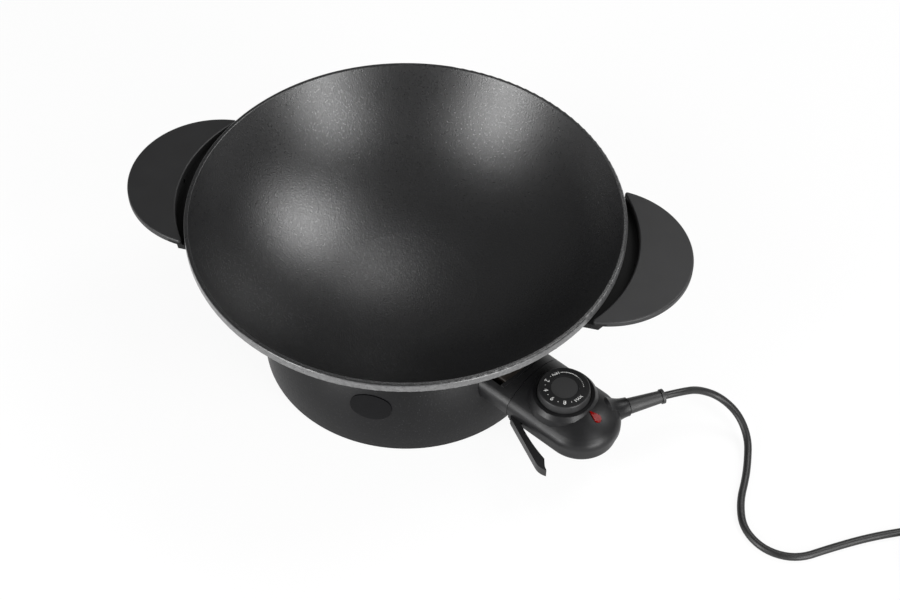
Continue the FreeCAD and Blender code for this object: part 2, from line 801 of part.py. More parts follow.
def make_bracket():
    bracket = new_body("terminal_bracket", PROBE_SWING)
    pad(bracket, "YZ_Plane", [box("-bracket_half_width", "bracket_bottom", "bracket_half_width",
                                  "bracket_top")], "bracket_back", "bracket_sheet")
    pad(bracket, "XY_Plane", [box("bracket_start", "-bracket_half_width", "bracket_back",
                                  "bracket_half_width")],
        "(bracket_top - bracket_sheet)", "bracket_sheet")
    ends = [(y, "element_height") for x, y in TERMINALS]
    pocket(bracket, "YZ_Plane", circles(ends, "(element_radius + screw_clearance)")
           + [("0", "element_height", "(probe_radius + passage_clearance)")],
           "bracket_back", "bracket_sheet")
    turned = [(y, x) for x, y in GUARD_SCREWS]
    pocket(bracket, "YZ_Plane", circles(turned, "(small_screw_shank + seat_clearance)"),
           "bracket_back", "bracket_sheet")
    pocket(bracket, "XY_Plane", circles(BRACKET_SCREWS, "(small_screw_shank + screw_clearance)"),
           "(bracket_top - bracket_sheet)", "bracket_sheet")
    screws("bracket_screws", BRACKET_SCREWS, "(bracket_top - bracket_sheet)", "small",
           "bracket_screw_depth", swing=PROBE_SWING)


# ---------------------------------------------------------------- socket guard

def make_guard():
    shroud = helper_body("guard_shroud", PROBE_SWING)
    pad(shroud, "YZ_Plane", [dome_outline("0", "guard_bottom")], "bracket_face",
        "(guard_face - bracket_face)")
    inner = "(bracket_face + guard_wall)"
    pocket(shroud, "YZ_Plane", [dome_outline("guard_wall", "(guard_bottom + guard_wall)")], inner,
           "(guard_face - %s)" % inner)
    windows = [(y, "element_height", "(bead_radius + passage_clearance)") for x, y in TERMINALS]
    probe_window = ("0", "element_height", "(probe_radius + passage_clearance)")
    holes = [(y, x, "(small_screw_shank + screw_clearance)") for x, y in GUARD_SCREWS]
    pocket(shroud, "YZ_Plane", windows + holes + [probe_window], "bracket_face", "guard_wall")
    # the crown is open behind a curved lip
    side_reach = "(lip_reach - lip_sweep + sqrt(lip_sweep^2 - lip_half_width^2))"
    pocket(shroud, "XY_Plane", [[
        ("slot_start", "-lip_half_width"),
        (side_reach, "-lip_half_width", "lip_sweep", 1),
        (side_reach, "lip_half_width"),
        ("slot_start", "lip_half_width")]], "dome_side_top", "dome_crown")
    # raised lip: a strip over the crown, kept where it follows the slot's edge
    strip = helper_body("lip_strip", PROBE_SWING)
    over, under = "(-lip_rise)", "lip_bond"
    over_x, over_z = dome_joint(over)
    under_x, under_z = dome_joint(under)
    over_arc, under_arc = "(%s + lip_rise)" % DOME_CURVE, "(%s - lip_bond)" % DOME_CURVE
    pad(strip, "YZ_Plane", [[
        (over_x, over_z, over_arc, 1),
        ("0", "(dome_crown + lip_rise)", over_arc, 1),
        ("-" + over_x, over_z),
        ("-" + under_x, under_z, under_arc, -1),
        ("0", "(dome_crown - lip_bond)", under_arc, -1),
        (under_x, under_z)]], "slot_start", "(guard_face - slot_start)")
    band = helper_body("lip_band", PROBE_SWING)
    outer_sweep = "(lip_sweep + lip_width)"
    outer_reach = "(lip_reach - lip_sweep + sqrt(%s^2 - lip_half_width^2))" % outer_sweep
    pad(band, "XY_Plane", [[
        (side_reach, "-lip_half_width"),
        (outer_reach, "-lip_half_width", outer_sweep, 1),
        (outer_reach, "lip_half_width"),
        (side_reach, "lip_half_width", "lip_sweep", -1)]], "dome_side_top", "dome_crown")
    lip = combine("Part::Common", "guard_lip", strip, band)
    nodes.append(combine("Part::Fuse", "socket_guard", shroud, lip))
    screws("guard_screws", [(y, x) for y, x in GUARD_SCREWS], inner, "small", "guard_screw_length",
           plane="YZ_Plane", swing=PROBE_SWING, from_front=True)


# ---------------------------------------------------------------- foot

def skirt_profile(inset):
    """Outside of the foot, or a curve inset from it by a wall, from the floor to the top."""
    radius = "(skirt_radius - %s)" % inset
    return [(radius, "skirt_lift"), (radius, "skirt_band_top", "(skirt_curve - %s)" % inset, 1),
            ("(skirt_top_radius - %s)" % inset, "skirt_top")]


def skirt_reach(height, inset):
    """Radius of the foot's curved wall at a height, inset from its outside."""
    run, rise = "(skirt_radius - skirt_top_radius)", "(skirt_top - skirt_band_top)"
    chord = "sqrt(%s^2 + %s^2)" % (run, rise)
    back = "(sqrt(skirt_curve^2 - (%s^2 + %s^2) / 4) / %s)" % (run, rise, chord)
    centre_x = "((skirt_radius + skirt_top_radius) / 2 - %s * %s)" % (back, rise)
    centre_z = "((skirt_top + skirt_band_top) / 2 - %s * %s)" % (back, run)
    return "(%s + sqrt((skirt_curve - %s)^2 - (%s - %s)^2))" % (centre_x, inset, height, centre_z)


def make_skirt():
    skirt = new_body("base_skirt")
    outer, inner = skirt_profile("0"), skirt_profile("skirt_wall")
    inner_back = [(inner[2][0], inner[2][1], "(skirt_curve - skirt_wall)", -1), inner[1][:2],
                  inner[0]]
    revolve(skirt, "Revolution", outer + inner_back)
    # ledge that the bowl stands on
    revolve(skirt, "Revolution", box("flange_inner_radius", "flange_face",
                                     skirt_reach("flange_top", "skirt_wall / 2"), "flange_top"))
    pocket(skirt, "XY_Plane", circles(BOWL_SCREWS, "(large_screw_shank + screw_clearance)"),
           "flange_face", "flange_thickness")
    # posts for the base plate, each held to the wall by a web
    pad(skirt, "XY_Plane", circles(POSTS, "post_radius"), "plate_face", "post_height")
    for index in range(4):
        pad(skirt, "YZ_Plane", [box("-post_web", "plate_face", "post_web", "post_web_top")],
            "post_circle", "(%s - post_circle)" % skirt_reach("post_web_top", "skirt_wall / 2"),
            turn=("(post_start + %g)" % (90 * index), "0"))
    pocket(skirt, "XY_Plane", circles(POSTS, "(small_screw_shank + seat_clearance)"),
           "plate_face", "post_screw_depth")
    # the ledge is open over the terminal bracket, and the wall where the socket guard passes
    bracket_way = "(bracket_half_width + passage_clearance)"
    pocket(skirt, "YZ_Plane", [box("-" + bracket_way, "flange_face", bracket_way, "flange_top")],
           "bracket_start", "(skirt_top_radius - skirt_wall - bracket_start)",
           turn=(PROBE_SWING, "0"))
    pocket(skirt, "YZ_Plane", [dome_outline("(-guard_fit)", "(guard_bottom - guard_fit)")],
           "bracket_back", "skirt_radius", turn=(PROBE_SWING, "0"))


def make_underside():
    plate = new_body("base_plate")
    pad(plate, "XY_Plane", [("0", "0", "(skirt_radius - skirt_wall - plate_gap)")], "foot_height",
        "plate_thickness")
    pocket(plate, "XY_Plane", circles(POSTS, "(small_screw_shank + screw_clearance)")
           + circles(FEET, "(foot_stem_radius + seat_clearance)"), "foot_height", "plate_thickness")
    screws("base_plate_screws", POSTS, "foot_height", "small", "(plate_thickness + post_screw_depth)")
    feet = new_body("rubber_feet")
    pad(feet, "XY_Plane", circles(FEET, "foot_radius"), "0", "foot_height")
    pad(feet, "XY_Plane", circles(FEET, "foot_stem_radius"), "0", "(foot_height + plate_thickness)")
    pad(feet, "XY_Plane", circles(FEET, "foot_barb_radius"), "plate_face", "foot_barb_height")
    shield = new_body("heat_shield")
    ledge = "(flange_face - shield_sheet)"
    revolve(shield, "Revolution", [
        ("0", "shield_floor"),
        ("shield_floor_radius", "shield_floor"),
        ("shield_top_radius", ledge),
        ("shield_rim_radius", ledge),
        ("shield_rim_radius", "flange_face"),
        ("(shield_top_radius - shield_sheet)", "flange_face"),
        ("(shield_floor_radius - shield_sheet)", "(shield_floor + shield_sheet)"),
        ("0", "(shield_floor + shield_sheet)")])
    pocket(shield, "XY_Plane", circles(BOWL_SCREWS, "(large_screw_shank + screw_clearance)"),
           ledge, "shield_sheet")
    # opening for the element's ends and the bracket
    open_half = "(dome_half_width + passage_clearance)"
    pocket(shield, "YZ_Plane", [box("-" + open_half, "(shield_floor + shield_sheet)", open_half,
                                    "flange_top")], "ring_radius", "shield_rim_radius",
           turn=(PROBE_SWING, "0"))
    screws("bowl_screws", BOWL_SCREWS, ledge, "large",
           "(shield_sheet + flange_thickness + washer_thickness + bowl_screw_depth)")
    washers = new_body("insulating_washers")
    pad(washers, "XY_Plane", circles(BOWL_SCREWS, "bowl_boss_radius")
        + circles(BOWL_SCREWS, "(large_screw_shank + screw_clearance)"), "flange_top",
        "washer_thickness")


def make_badge():
    """A bare oval plate that follows the front of the foot."""
    badge = new_body("badge_plate")
    outer, inner = skirt_profile("(-badge_thickness)"), skirt_profile("0")
    inner_back = [(inner[2][0], inner[2][1], "skirt_curve", -1), inner[1][:2], inner[0]]
    revolve(badge, "Revolution", outer + inner_back, swing="-90", angle="badge_span")
    half, rise, small = "(badge_width / 2)", "(badge_height / 2)", "badge_end_round"
    run = "(%s - %s)" % (half, small)
    large = "((%s^2 + %s^2 - %s^2) / (2 * (%s - %s)))" % (run, rise, small, rise, small)
    share = "(%s / (%s - %s))" % (large, large, small)
    joint_x = "(%s * %s)" % (run, share)
    lift = "((%s - %s) * %s + %s - %s)" % (large, rise, share, rise, large)
    middle = "badge_centre_height"
    oval = [(half, middle, small, 1), (joint_x, "(%s + %s)" % (middle, lift), large, 1),
            ("-" + joint_x, "(%s + %s)" % (middle, lift), small, 1), ("-" + half, middle, small, 1),
            ("-" + joint_x, "(%s - %s)" % (middle, lift), large, 1),
            (joint_x, "(%s - %s)" % (middle, lift), small, 1)]
    frame = box("-skirt_radius", "0", "skirt_radius", "rim_height")
    pocket(badge, "XZ_Plane", [frame, oval], "0", "(2 * skirt_radius)")


# ---------------------------------------------------------------- handles

def make_handle(label, swing):
    handle = new_body(label, swing)
    # the outer and the inner arc cross where both circles meet
    apart = "(handle_centre - handle_inner_centre)"
    corner_x = ("(handle_inner_centre + ({a}^2 + handle_inner_radius^2 - handle_radius^2)"
                " / (2 * {a}))").format(a=apart)
    corner_y = "sqrt(handle_inner_radius^2 - (%s - handle_inner_centre)^2)" % corner_x
    far = "(handle_centre + handle_radius)"
    inner_middle = "(handle_inner_centre + handle_inner_radius)"
    outer_edge = "handle_radius"
    crescent = [(corner_x, "-" + corner_y, outer_edge, 1), (far, "0", outer_edge, 1),
                (corner_x, corner_y, "handle_inner_radius", -1),
                (inner_middle, "0", "handle_inner_radius", -1)]
    plate_bottom = "(handle_top - handle_thickness)"
    pad(handle, "XY_Plane", [crescent], plate_bottom, "handle_thickness")
    # wall that drops from the plate's inner edge to the web under the rim
    wall_y = "(%s - handle_tip)" % corner_y
    wall_in = "(handle_inner_centre + sqrt(handle_inner_radius^2 - %s^2))" % wall_y
    wall_radius = "(handle_inner_radius + handle_wall)"
    wall_out = "(handle_inner_centre + sqrt(%s^2 - %s^2))" % (wall_radius, wall_y)
    pad(handle, "XY_Plane", [[
        (wall_in, "-" + wall_y), (wall_out, "-" + wall_y, wall_radius, 1), (wall_out, wall_y),
        (wall_in, wall_y, "handle_inner_radius", -1)]], "lug_top",
        "(handle_top - handle_thickness / 2 - lug_top)")
    web_in = "(handle_web_centre + sqrt(handle_web_radius^2 - %s^2))" % wall_y
    pad(handle, "XY_Plane", [[
        (web_in, "-" + wall_y), (wall_out, "-" + wall_y, wall_radius, 1), (wall_out, wall_y),
        (web_in, wall_y, "handle_web_radius", -1)]], "lug_top", "handle_web_thickness")
    # the web keeps a gap to the bowl's wall, whose radius grows upwards
    web_top = "(lug_top + handle_web_thickness)"
    revolve(handle, "Groove", [
        ("0", "lug_top"),
        (bowl_reach("lug_top", "handle_web_gap"), "lug_top",
         "(side_curve + bowl_wall + handle_web_gap)", 1),
        (bowl_reach(web_top, "handle_web_gap"), web_top),
        ("0", web_top)])
    # ribs under the plate
    for offset in ("-handle_rib_spacing", "0", "handle_rib_spacing"):
        pad(handle, "XY_Plane", [box("(%s - handle_rib_tuck)" % inner_middle,
                                     "(%s - handle_rib / 2)" % offset,
                                     "(%s - handle_rib_margin)" % far,
                                     "(%s + handle_rib / 2)" % offset)],
            "(%s - handle_rib_depth)" % plate_bottom, "handle_rib_depth")
    pocket(handle, "XY_Plane", circles(HANDLE_SCREWS, "(large_screw_shank + seat_clearance)"),
           "lug_top", "handle_screw_depth")
    fillet(handle, "handle_corner_round", lambda edge: upright(edge) and at_reach(edge, corner_x))
    fillet(handle, "handle_round", lambda edge: flat_at(edge, "handle_top"))
    return handle


def make_handles():
    make_handle("right_handle", None)
    make_handle("left_handle", "180")
    both = [(x, y) for x, y in HANDLE_SCREWS] + [("-" + x, y) for x, y in HANDLE_SCREWS]
    screws("handle_screws", both, "(lug_top - lug_thickness)", "large",
           "(lug_thickness + handle_screw_depth)")


# ---------------------------------------------------------------- thermostat

NECK_TURN = ("neck_angle", "bulb_reach")


def add_neck(shell, upper):
    """Half of the flared neck that the lead leaves by, above or below the parting line."""
    flare = "(neck_flare_radius - neck_radius)"
    length = "(neck_end - neck_flare_start)"
    curve = "((%s^2 + %s^2) / (2 * %s))" % (length, flare, flare)
    sketch = new_sketch(shell, "XY_Plane", [[
        ("0", "0"), ("neck_end", "0"), ("neck_end", "neck_radius", curve, -1),
        ("neck_flare_start", "neck_flare_radius"), ("0", "neck_flare_radius")]],
        ("bulb_reach", "0", "part_line"), spin="neck_angle")
    feature = shell.newObject("PartDesign::Revolution", "neck")
    feature.Profile = sketch
    feature.ReferenceAxis = (sketch, ["H_Axis"])
    feature.Angle = 180
    feature.Reversed = not upper


def bore_neck(shell):
    pocket(shell, "YZ_Plane", [("0", "part_line", "(relief_root_radius + seat_clearance)")],
           "neck_flare_start", "neck_end", turn=NECK_TURN)


def teardrop(inset):
    """Plan of the lens: a round end away from the knob and a point towards it."""
    radius = "(lens_width / 2 - %s)" % inset
    centre = "(lens_reach + lens_length / 2 - lens_width / 2)"
    span = "(lens_length - lens_width / 2 - %s)" % inset
    side_x = "(%s - %s^2 / %s)" % (centre, radius, span)
    side_y = "(%s * sqrt(1 - (%s / %s)^2))" % (radius, radius, span)
    return [("(%s - %s)" % (centre, span), "0"), (side_x, "-" + side_y, radius, 1),
            ("(%s + %s)" % (centre, radius), "0", radius, 1), (side_x, side_y)]


def make_upper_shell():
    shell = new_body("control_upper_shell", PROBE_SWING)
    pad(shell, "YZ_Plane", [dome_outline("0", "part_line")], "shell_face",
        "(bulb_reach - shell_face)")
    revolve(shell, "Revolution", dome_outline("0", "part_line", half=True),
            offset=("bulb_reach", "0", "0"))
    add_neck(shell, upper=True)
    revolve(shell, "Revolution", [
        ("0", "collar_base"), ("collar_base_radius", "collar_base"),
        ("collar_ridge_radius", "collar_ridge"), ("collar_radius", "collar_top"),
        ("0", "collar_top")], offset=("knob_place", "0", "0"))
    # the collar stays behind the housing's face
    pocket(shell, "YZ_Plane", [box("-dome_half_width", "collar_base", "dome_half_width", "collar_top")],
           "guard_face - collar_base_radius", "(housing_gap + collar_base_radius)")
    # hollow inside
    inner_face = "(shell_face + shell_wall)"
    pocket(shell, "YZ_Plane", [dome_outline("shell_wall", "part_line")], inner_face,
           "(bulb_reach - %s)" % inner_face)
    revolve(shell, "Groove", dome_outline("shell_wall", "part_line", half=True),
            offset=("bulb_reach", "0", "0"))
    bore_neck(shell)
    # recess and bearing of the knob
    pad(shell, "XY_Plane", [("knob_place", "0", "bearing_radius")], "bearing_bottom",
        "(recess_floor - bearing_bottom)")
    pocket(shell, "XY_Plane", [("knob_place", "0", "recess_radius")], "recess_floor", "collar_top")
    pocket(shell, "XY_Plane", [("knob_place", "0", "(spindle_radius + spindle_clearance)")],
           "bearing_bottom", "collar_top")
    # openings for the contacts and the lens, bosses for the screws
    pocket(shell, "YZ_Plane", [box("-(nose_half_width + seat_clearance)", "part_line",
                                   "(nose_half_width + seat_clearance)",
                                   "(nose_top + seat_clearance)")], "shell_face", "shell_wall")
    pocket(shell, "XY_Plane", [teardrop("0")], "part_line", "collar_top")
    pad(shell, "XY_Plane", circles(SHELL_SCREWS, "shell_boss_radius"), "part_line",
        "shell_boss_height")
    pocket(shell, "XY_Plane", circles(SHELL_SCREWS, "(small_screw_shank + seat_clearance)"),
           "part_line", "shell_screw_depth")
    fillet(shell, "collar_round", lambda edge: round_at(edge, "collar_radius", "collar_top"))


def make_lower_shell():
    shell = new_body("control_lower_shell", PROBE_SWING)
    pad(shell, "XY_Plane", [bulb_outline("tub_inset", "shell_face")], "tub_bottom",
        "(rim_face - tub_bottom)")
    fillet(shell, "tub_round", lambda edge: flat_at(edge, "tub_bottom"))
    pad(shell, "XY_Plane", [bulb_outline("0", "shell_face")], "rim_face", "rim_depth")
    add_neck(shell, upper=False)
    pocket(shell, "XY_Plane", [bulb_outline("(tub_inset + shell_wall)", "(shell_face + shell_wall)")],
           "floor_face", "(part_line - floor_face)")
    bore_neck(shell)
    # pocket of the ejector lever, with the hole of its pin
    recess_side = "(lever_hub_radius + lever_margin)"
    recess_depth = "(lever_pin_offset - %s)" % recess_side
    outer = "(dome_half_width - tub_inset)"
    front, back = "(lever_pin_reach - %s)" % recess_side, "(lever_pin_reach + %s)" % recess_side
    pad(shell, "XY_Plane", [box("(shell_face + shell_wall / 2)", "-%s" % outer,
                                "(%s + lever_wall)" % back, "(lever_wall - %s)" % recess_depth)],
        "(tub_bottom + shell_wall / 2)", "(rim_face - tub_bottom - shell_wall / 2)")
    pocket(shell, "XY_Plane", [box(front, "-dome_half_width", back, "-%s" % recess_depth)],
           "floor_face", "(rim_face - floor_face)")
    pocket(shell, "XY_Plane", [("lever_pin_reach", "-lever_pin_offset",
                                "(lever_pin_radius + seat_clearance)")],
           "(floor_face - lever_pin_hold)", "(rim_face - floor_face + 2 * lever_pin_hold)")
    # posts of the screws
    pad(shell, "XY_Plane", circles(SHELL_SCREWS, "shell_post_radius"),
        "(tub_bottom + shell_wall / 2)", "(part_line - tub_bottom - shell_wall / 2)")
    pocket(shell, "XY_Plane", circles(SHELL_SCREWS, "(small_screw_shank + screw_clearance)"),
           "tub_bottom", "(part_line - tub_bottom)")
    pocket(shell, "XY_Plane", circles(SHELL_SCREWS, "(small_screw_head + screw_clearance)"),
           "tub_bottom", "shell_screw_sink")
    screws("control_screws", SHELL_SCREWS, "(tub_bottom + shell_screw_sink)", "small",
           "(part_line - tub_bottom - shell_screw_sink + shell_screw_depth)", swing=PROBE_SWING)


def make_contacts():
    ends = [(y, "element_height") for x, y in TERMINALS]
    carrier = new_body("contact_carrier", PROBE_SWING)
    pad(carrier, "YZ_Plane", [box("-nose_half_width", "part_line", "nose_half_width", "nose_top")],
        "nose_start", "(nose_end - nose_start)")
    pocket(carrier, "YZ_Plane", circles(ends, "(receptacle_radius + seat_clearance)")
           + [("0", "element_height", "(probe_radius + seat_clearance)")],
           "nose_start", "(nose_end - nose_start)")
    fillet(carrier, "nose_round", lambda edge: near(abs(edge.BoundBox.YMin), "nose_half_width")
           and edge.BoundBox.YLength < 0.01 and flat_at(edge, "nose_top"))
    receptacles = new_body("contact_receptacles", PROBE_SWING)
    pad(receptacles, "YZ_Plane", circles(ends, "receptacle_radius")
        + circles(ends, "(pin_radius + contact_gap)"), "nose_start", "receptacle_length")
    probe = new_body("probe_rod", PROBE_SWING)
    pad(probe, "YZ_Plane", [("0", "element_height", "probe_radius")], "probe_tip",
        "(switch_start - probe_tip)")
    fillet(probe, "probe_round", lambda edge: at_reach(edge, "probe_tip"))
    switch = new_body("thermostat_switch", PROBE_SWING)
    pad(switch, "XY_Plane", [box("switch_start", "-switch_half_width", "switch_end",
                                 "switch_half_width")], "floor_face",
        "(spindle_bottom - switch_gap - floor_face)")
    pad(switch, "YZ_Plane", [("0", "element_height", "(probe_radius + switch_collar)")],
        "switch_start", "switch_collar_length")


def make_knob():
    spindle = new_body("knob_shaft", PROBE_SWING)
    spindle_top = "(knob_top - knob_disc_step - knob_wall)"
    pad(spindle, "XY_Plane", [("knob_place", "0", "spindle_radius")], "spindle_bottom",
        "(%s - spindle_bottom)" % spindle_top)
    knob = new_body("temperature_knob", PROBE_SWING)
    bore = "(spindle_radius + seat_clearance)"
    hub = "(%s + knob_wall)" % bore
    ceiling = "(knob_top - knob_disc_step - knob_wall)"
    revolve(knob, "Revolution", [
        ("0", "(knob_top - knob_disc_step)"), ("0", ceiling), (bore, ceiling),
        (bore, "(recess_floor + knob_gap)"), (hub, "(recess_floor + knob_gap)"), (hub, ceiling),
        ("(knob_radius - knob_wall)", ceiling), ("(knob_base_radius - knob_wall)", "knob_bottom"),
        ("knob_base_radius", "knob_bottom"), ("knob_radius", "knob_top"),
        ("knob_disc_radius", "knob_top"), ("knob_disc_radius", "(knob_top - knob_disc_step)")],
        offset=("knob_place", "0", "0"))
    fillet(knob, "knob_round", lambda edge: round_at(edge, "knob_radius", "knob_top"))


def make_lens():
    lens = new_body("indicator_lens", PROBE_SWING)
    pad(lens, "XY_Plane", [teardrop("seat_clearance")], "lens_bottom", "(dome_crown - part_line)")
    over = "(-lens_rise)"
    joint_x, joint_z = dome_joint(over)
    revolve(lens, "Groove", [
        ("0", "(dome_crown + lens_rise)"), ("0", "rim_height"), (joint_x, "rim_height"),
        (joint_x, joint_z, "(%s + lens_rise)" % DOME_CURVE, 1)], offset=("bulb_reach", "0", "0"))
    lamp = new_body("indicator_lamp", PROBE_SWING)
    pad(lamp, "XY_Plane", [("lens_reach", "0", "lamp_radius")], "(lens_bottom - lamp_length)",
        "lamp_length")
    fillet(lamp, "lamp_round", lambda edge: flat_at(edge, "(lens_bottom - lamp_length)"))


def make_lever():
    pin = new_body("lever_pin", PROBE_SWING)
    pad(pin, "XY_Plane", [("lever_pin_reach", "-lever_pin_offset", "lever_pin_radius")],
        "(floor_face - lever_pin_hold)", "(rim_face - floor_face + 2 * lever_pin_hold)")
    pin_x, pin_y = turned_back(("lever_pin_reach", "-lever_pin_offset"))
    lever = new_body("ejector_lever", "(-probe_azimuth - lever_angle)", (pin_x, pin_y, "0"))
    bottom = "(floor_face + lever_slack)"
    height = "(rim_face - floor_face - 2 * lever_slack)"
    edge = "(lever_width - lever_hub_radius)"
    pad(lever, "XY_Plane", [[
        ("0", "-lever_hub_radius"),
        ("lever_hook_reach", "-lever_hub_radius", "lever_tip_curve", 1),
        ("lever_length", "0"),
        ("(lever_length - lever_notch)", "%s" % edge),
        ("lever_hook_reach", "(%s + lever_hook_rise)" % edge, "lever_back_curve", -1),
        ("(lever_hub_radius * 2)", edge),
        ("0", edge)]], bottom, height)
    pad(lever, "XY_Plane", [("0", "0", "lever_hub_radius")], bottom, height)
    pocket(lever, "XY_Plane", [("0", "0", "(lever_pin_radius + spindle_clearance)")], bottom, height)


def make_strain_relief():
    bulb_x, bulb_y = turned_back(("bulb_reach", "0"))
    relief = new_body("strain_relief", "(neck_angle - probe_azimuth)", (bulb_x, bulb_y, "part_line"))
    sketch = new_sketch(relief, "XY_Plane", [[
        ("relief_root_start", "0"), ("relief_end", "0"), ("relief_end", "relief_flange_radius"),
        ("(relief_end - relief_flange)", "relief_flange_radius"),
        ("(relief_end - relief_flange)", "relief_tip_radius"),
        ("(neck_end + relief_gap)", "relief_radius"),
        ("(neck_end + relief_gap)", "relief_root_radius"),
        ("relief_root_start", "relief_root_radius")]])
    sleeve = relief.newObject("PartDesign::Revolution", "sleeve")
    sleeve.Profile = sketch
    sleeve.ReferenceAxis = (sketch, ["H_Axis"])
    sleeve.Angle = 360


# ---------------------------------------------------------------- mains lead

# Way of the lead from the strain relief to the coil, then from the coil to the plug.
LEAD_ROUTE = [
    (245.8, -38.7, 48.6), (258.4, -25.7, 39.0), (276.4, -19.5, 27.9), (294.8, -25.3, 17.2),
    (306.5, -41.3, 7.3), (309.3, -62.9, 3.4), (309.8, -80.2, 3.2), (308.3, -104.8, 3.2),
    (314.3, -130.1, 3.2), (334.3, -146.6, 3.2), (360.3, -147.7, 3.2), (384.0, -131.3, 3.2),
    (416.0, -111.5, 3.2), (454.7, -93.7, 3.2)]
TAIL_ROUTE = [
    (540.3, -148.1, 3.2), (538.9, -157.8, 3.2), (535.1, -166.8, 3.3), (529.1, -174.6, 3.7),
    (521.3, -180.5, 4.4)]


def lead_wire(points):
    """Straight runs joined by tangent arcs, and the arcs' radii."""
    corners = [Vector(*point) for point in points]
    edges, radii = [], []
    here = corners[0]
    for before, corner, after in zip(corners, corners[1:], corners[2:]):
        back, ahead = before - corner, after - corner
        cut = 0.45 * min(back.Length, ahead.Length)
        half_turn = (math.pi - back.getAngle(ahead)) / 2
        radius = cut / math.tan(half_turn)
        back.normalize()
        ahead.normalize()
        start, end = corner + back * cut, corner + ahead * cut
        inward = (back + ahead).normalize()
        middle = corner + inward * (radius / math.cos(half_turn) - radius)
        edges.append(Part.LineSegment(here, start).toShape())
        edges.append(Part.Arc(start, middle, end).toShape())
        radii.append(radius)
        here = end
    edges.append(Part.LineSegment(here, corners[-1]).toShape())
    return Part.Wire(edges), radii


def make_lead(label, points):
    """Tube of the lead's own diameter along a route."""
    wire, radii = lead_wire(points)
    print(label, "arc radii in mm:", ", ".join("%.1f" % radius for radius in radii))
    route = document.addObject("Part::Feature", label + "_route")
    route.Shape = wire
    section = document.addObject("Part::Circle", label + "_section")
    first_run = Vector(*points[1]) - Vector(*points[0])
    section.Placement = Placement(Vector(*points[0]), Rotation(Vector(0, 0, 1), first_run))
    bind(section, Radius="cord_diameter / 2")
    tube = document.addObject("Part::Sweep", label)
    tube.Label = label
    tube.Sections = [section]
    tube.Spine = (route, ["Edge%d" % (i + 1) for i in range(len(wire.Edges))])
    tube.Solid = True
    tube.Frenet = False
    nodes.append(tube)
    document.recompute()
    expected = math.pi * (number("cord_diameter") / 2) ** 2 * wire.Length
    print(label, "length %.1f mm, volume %.4f of section times length"
          % (wire.Length, tube.Shape.Volume / expected))


def make_mains_lead():
    reach = "relief_end"
    swing = "(neck_angle - probe_azimuth)"
    bulb_x, bulb_y = turned_back(("bulb_reach", "0"))
    start = (number("%s + %s * cos%s" % (bulb_x, reach, swing)),
             number("%s + %s * sin%s" % (bulb_y, reach, swing)), number("part_line"))
    make_lead("power_cord", [start] + LEAD_ROUTE)
    coil = new_body("cord_coil", base=("coil_centre_x", "coil_centre_y", "0"))
    pad(coil, "XY_Plane", [
        ("0", "0", "(coil_turn_radius + cord_diameter / 2)"),
        ("0", "0", "(coil_turn_radius - (coil_turns_across - 1 / 2) * cord_diameter)")],
        "0", "(coil_layers * cord_diameter)")
    plug_reach = "(plug_radius + plug_neck_length)"
    end = (number("plug_centre_x + %s * cos(plug_azimuth)" % plug_reach),
           number("plug_centre_y + %s * sin(plug_azimuth)" % plug_reach), number("plug_neck_radius"))
    make_lead("cord_tail", TAIL_ROUTE + [end])
    plug_place = ("plug_centre_x", "plug_centre_y", "0")
    plug = new_body("plug_body", "plug_azimuth", plug_place)
    pad(plug, "XY_Plane", [("0", "0", "plug_radius")], "0", "plug_thickness")
    fillet(plug, "plug_round", lambda edge: round_at(edge, "plug_radius", "0")
           or round_at(edge, "plug_radius", "plug_thickness"))
    pad(plug, "YZ_Plane", [("0", "plug_neck_radius", "plug_neck_radius")], "0", plug_reach)
    pins = new_body("plug_pins", "plug_azimuth", plug_place)
    spots = mirrored("0", "(plug_pin_spacing / 2)")
    pad(pins, "XY_Plane", circles(spots, "plug_pin_radius"), "plug_thickness", "plug_pin_length")
    fillet(pins, "plug_pin_round", lambda edge: flat_at(edge, "(plug_thickness + plug_pin_length)"))


make_bowl()
make_element()
make_terminals()
make_bracket()
make_guard()
make_skirt()
make_underside()
make_badge()
make_handles()
make_upper_shell()
make_lower_shell()
make_contacts()
make_knob()
make_lens()
make_lever()
make_strain_relief()
make_mains_lead()
document.recompute()

faults = [thing.Label for thing in document.Objects
          if "Invalid" in thing.State or "Error" in thing.State]
faults += [node.Label for node in nodes if node.Shape.isNull() or not node.Shape.isValid()]
if faults:
    raise RuntimeError("these did not build: " + ", ".join(faults))

os.makedirs("parts", exist_ok=True)
for node in nodes:
    shape = node.Shape
    print("%-22s %d solids %12.1f mm3" % (node.Label, len(shape.Solids), shape.Volume))
    shape.exportStep("parts/%s.step" % node.Label)
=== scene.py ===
import json
import math

import bmesh
import bpy
from mathutils import Matrix, Vector


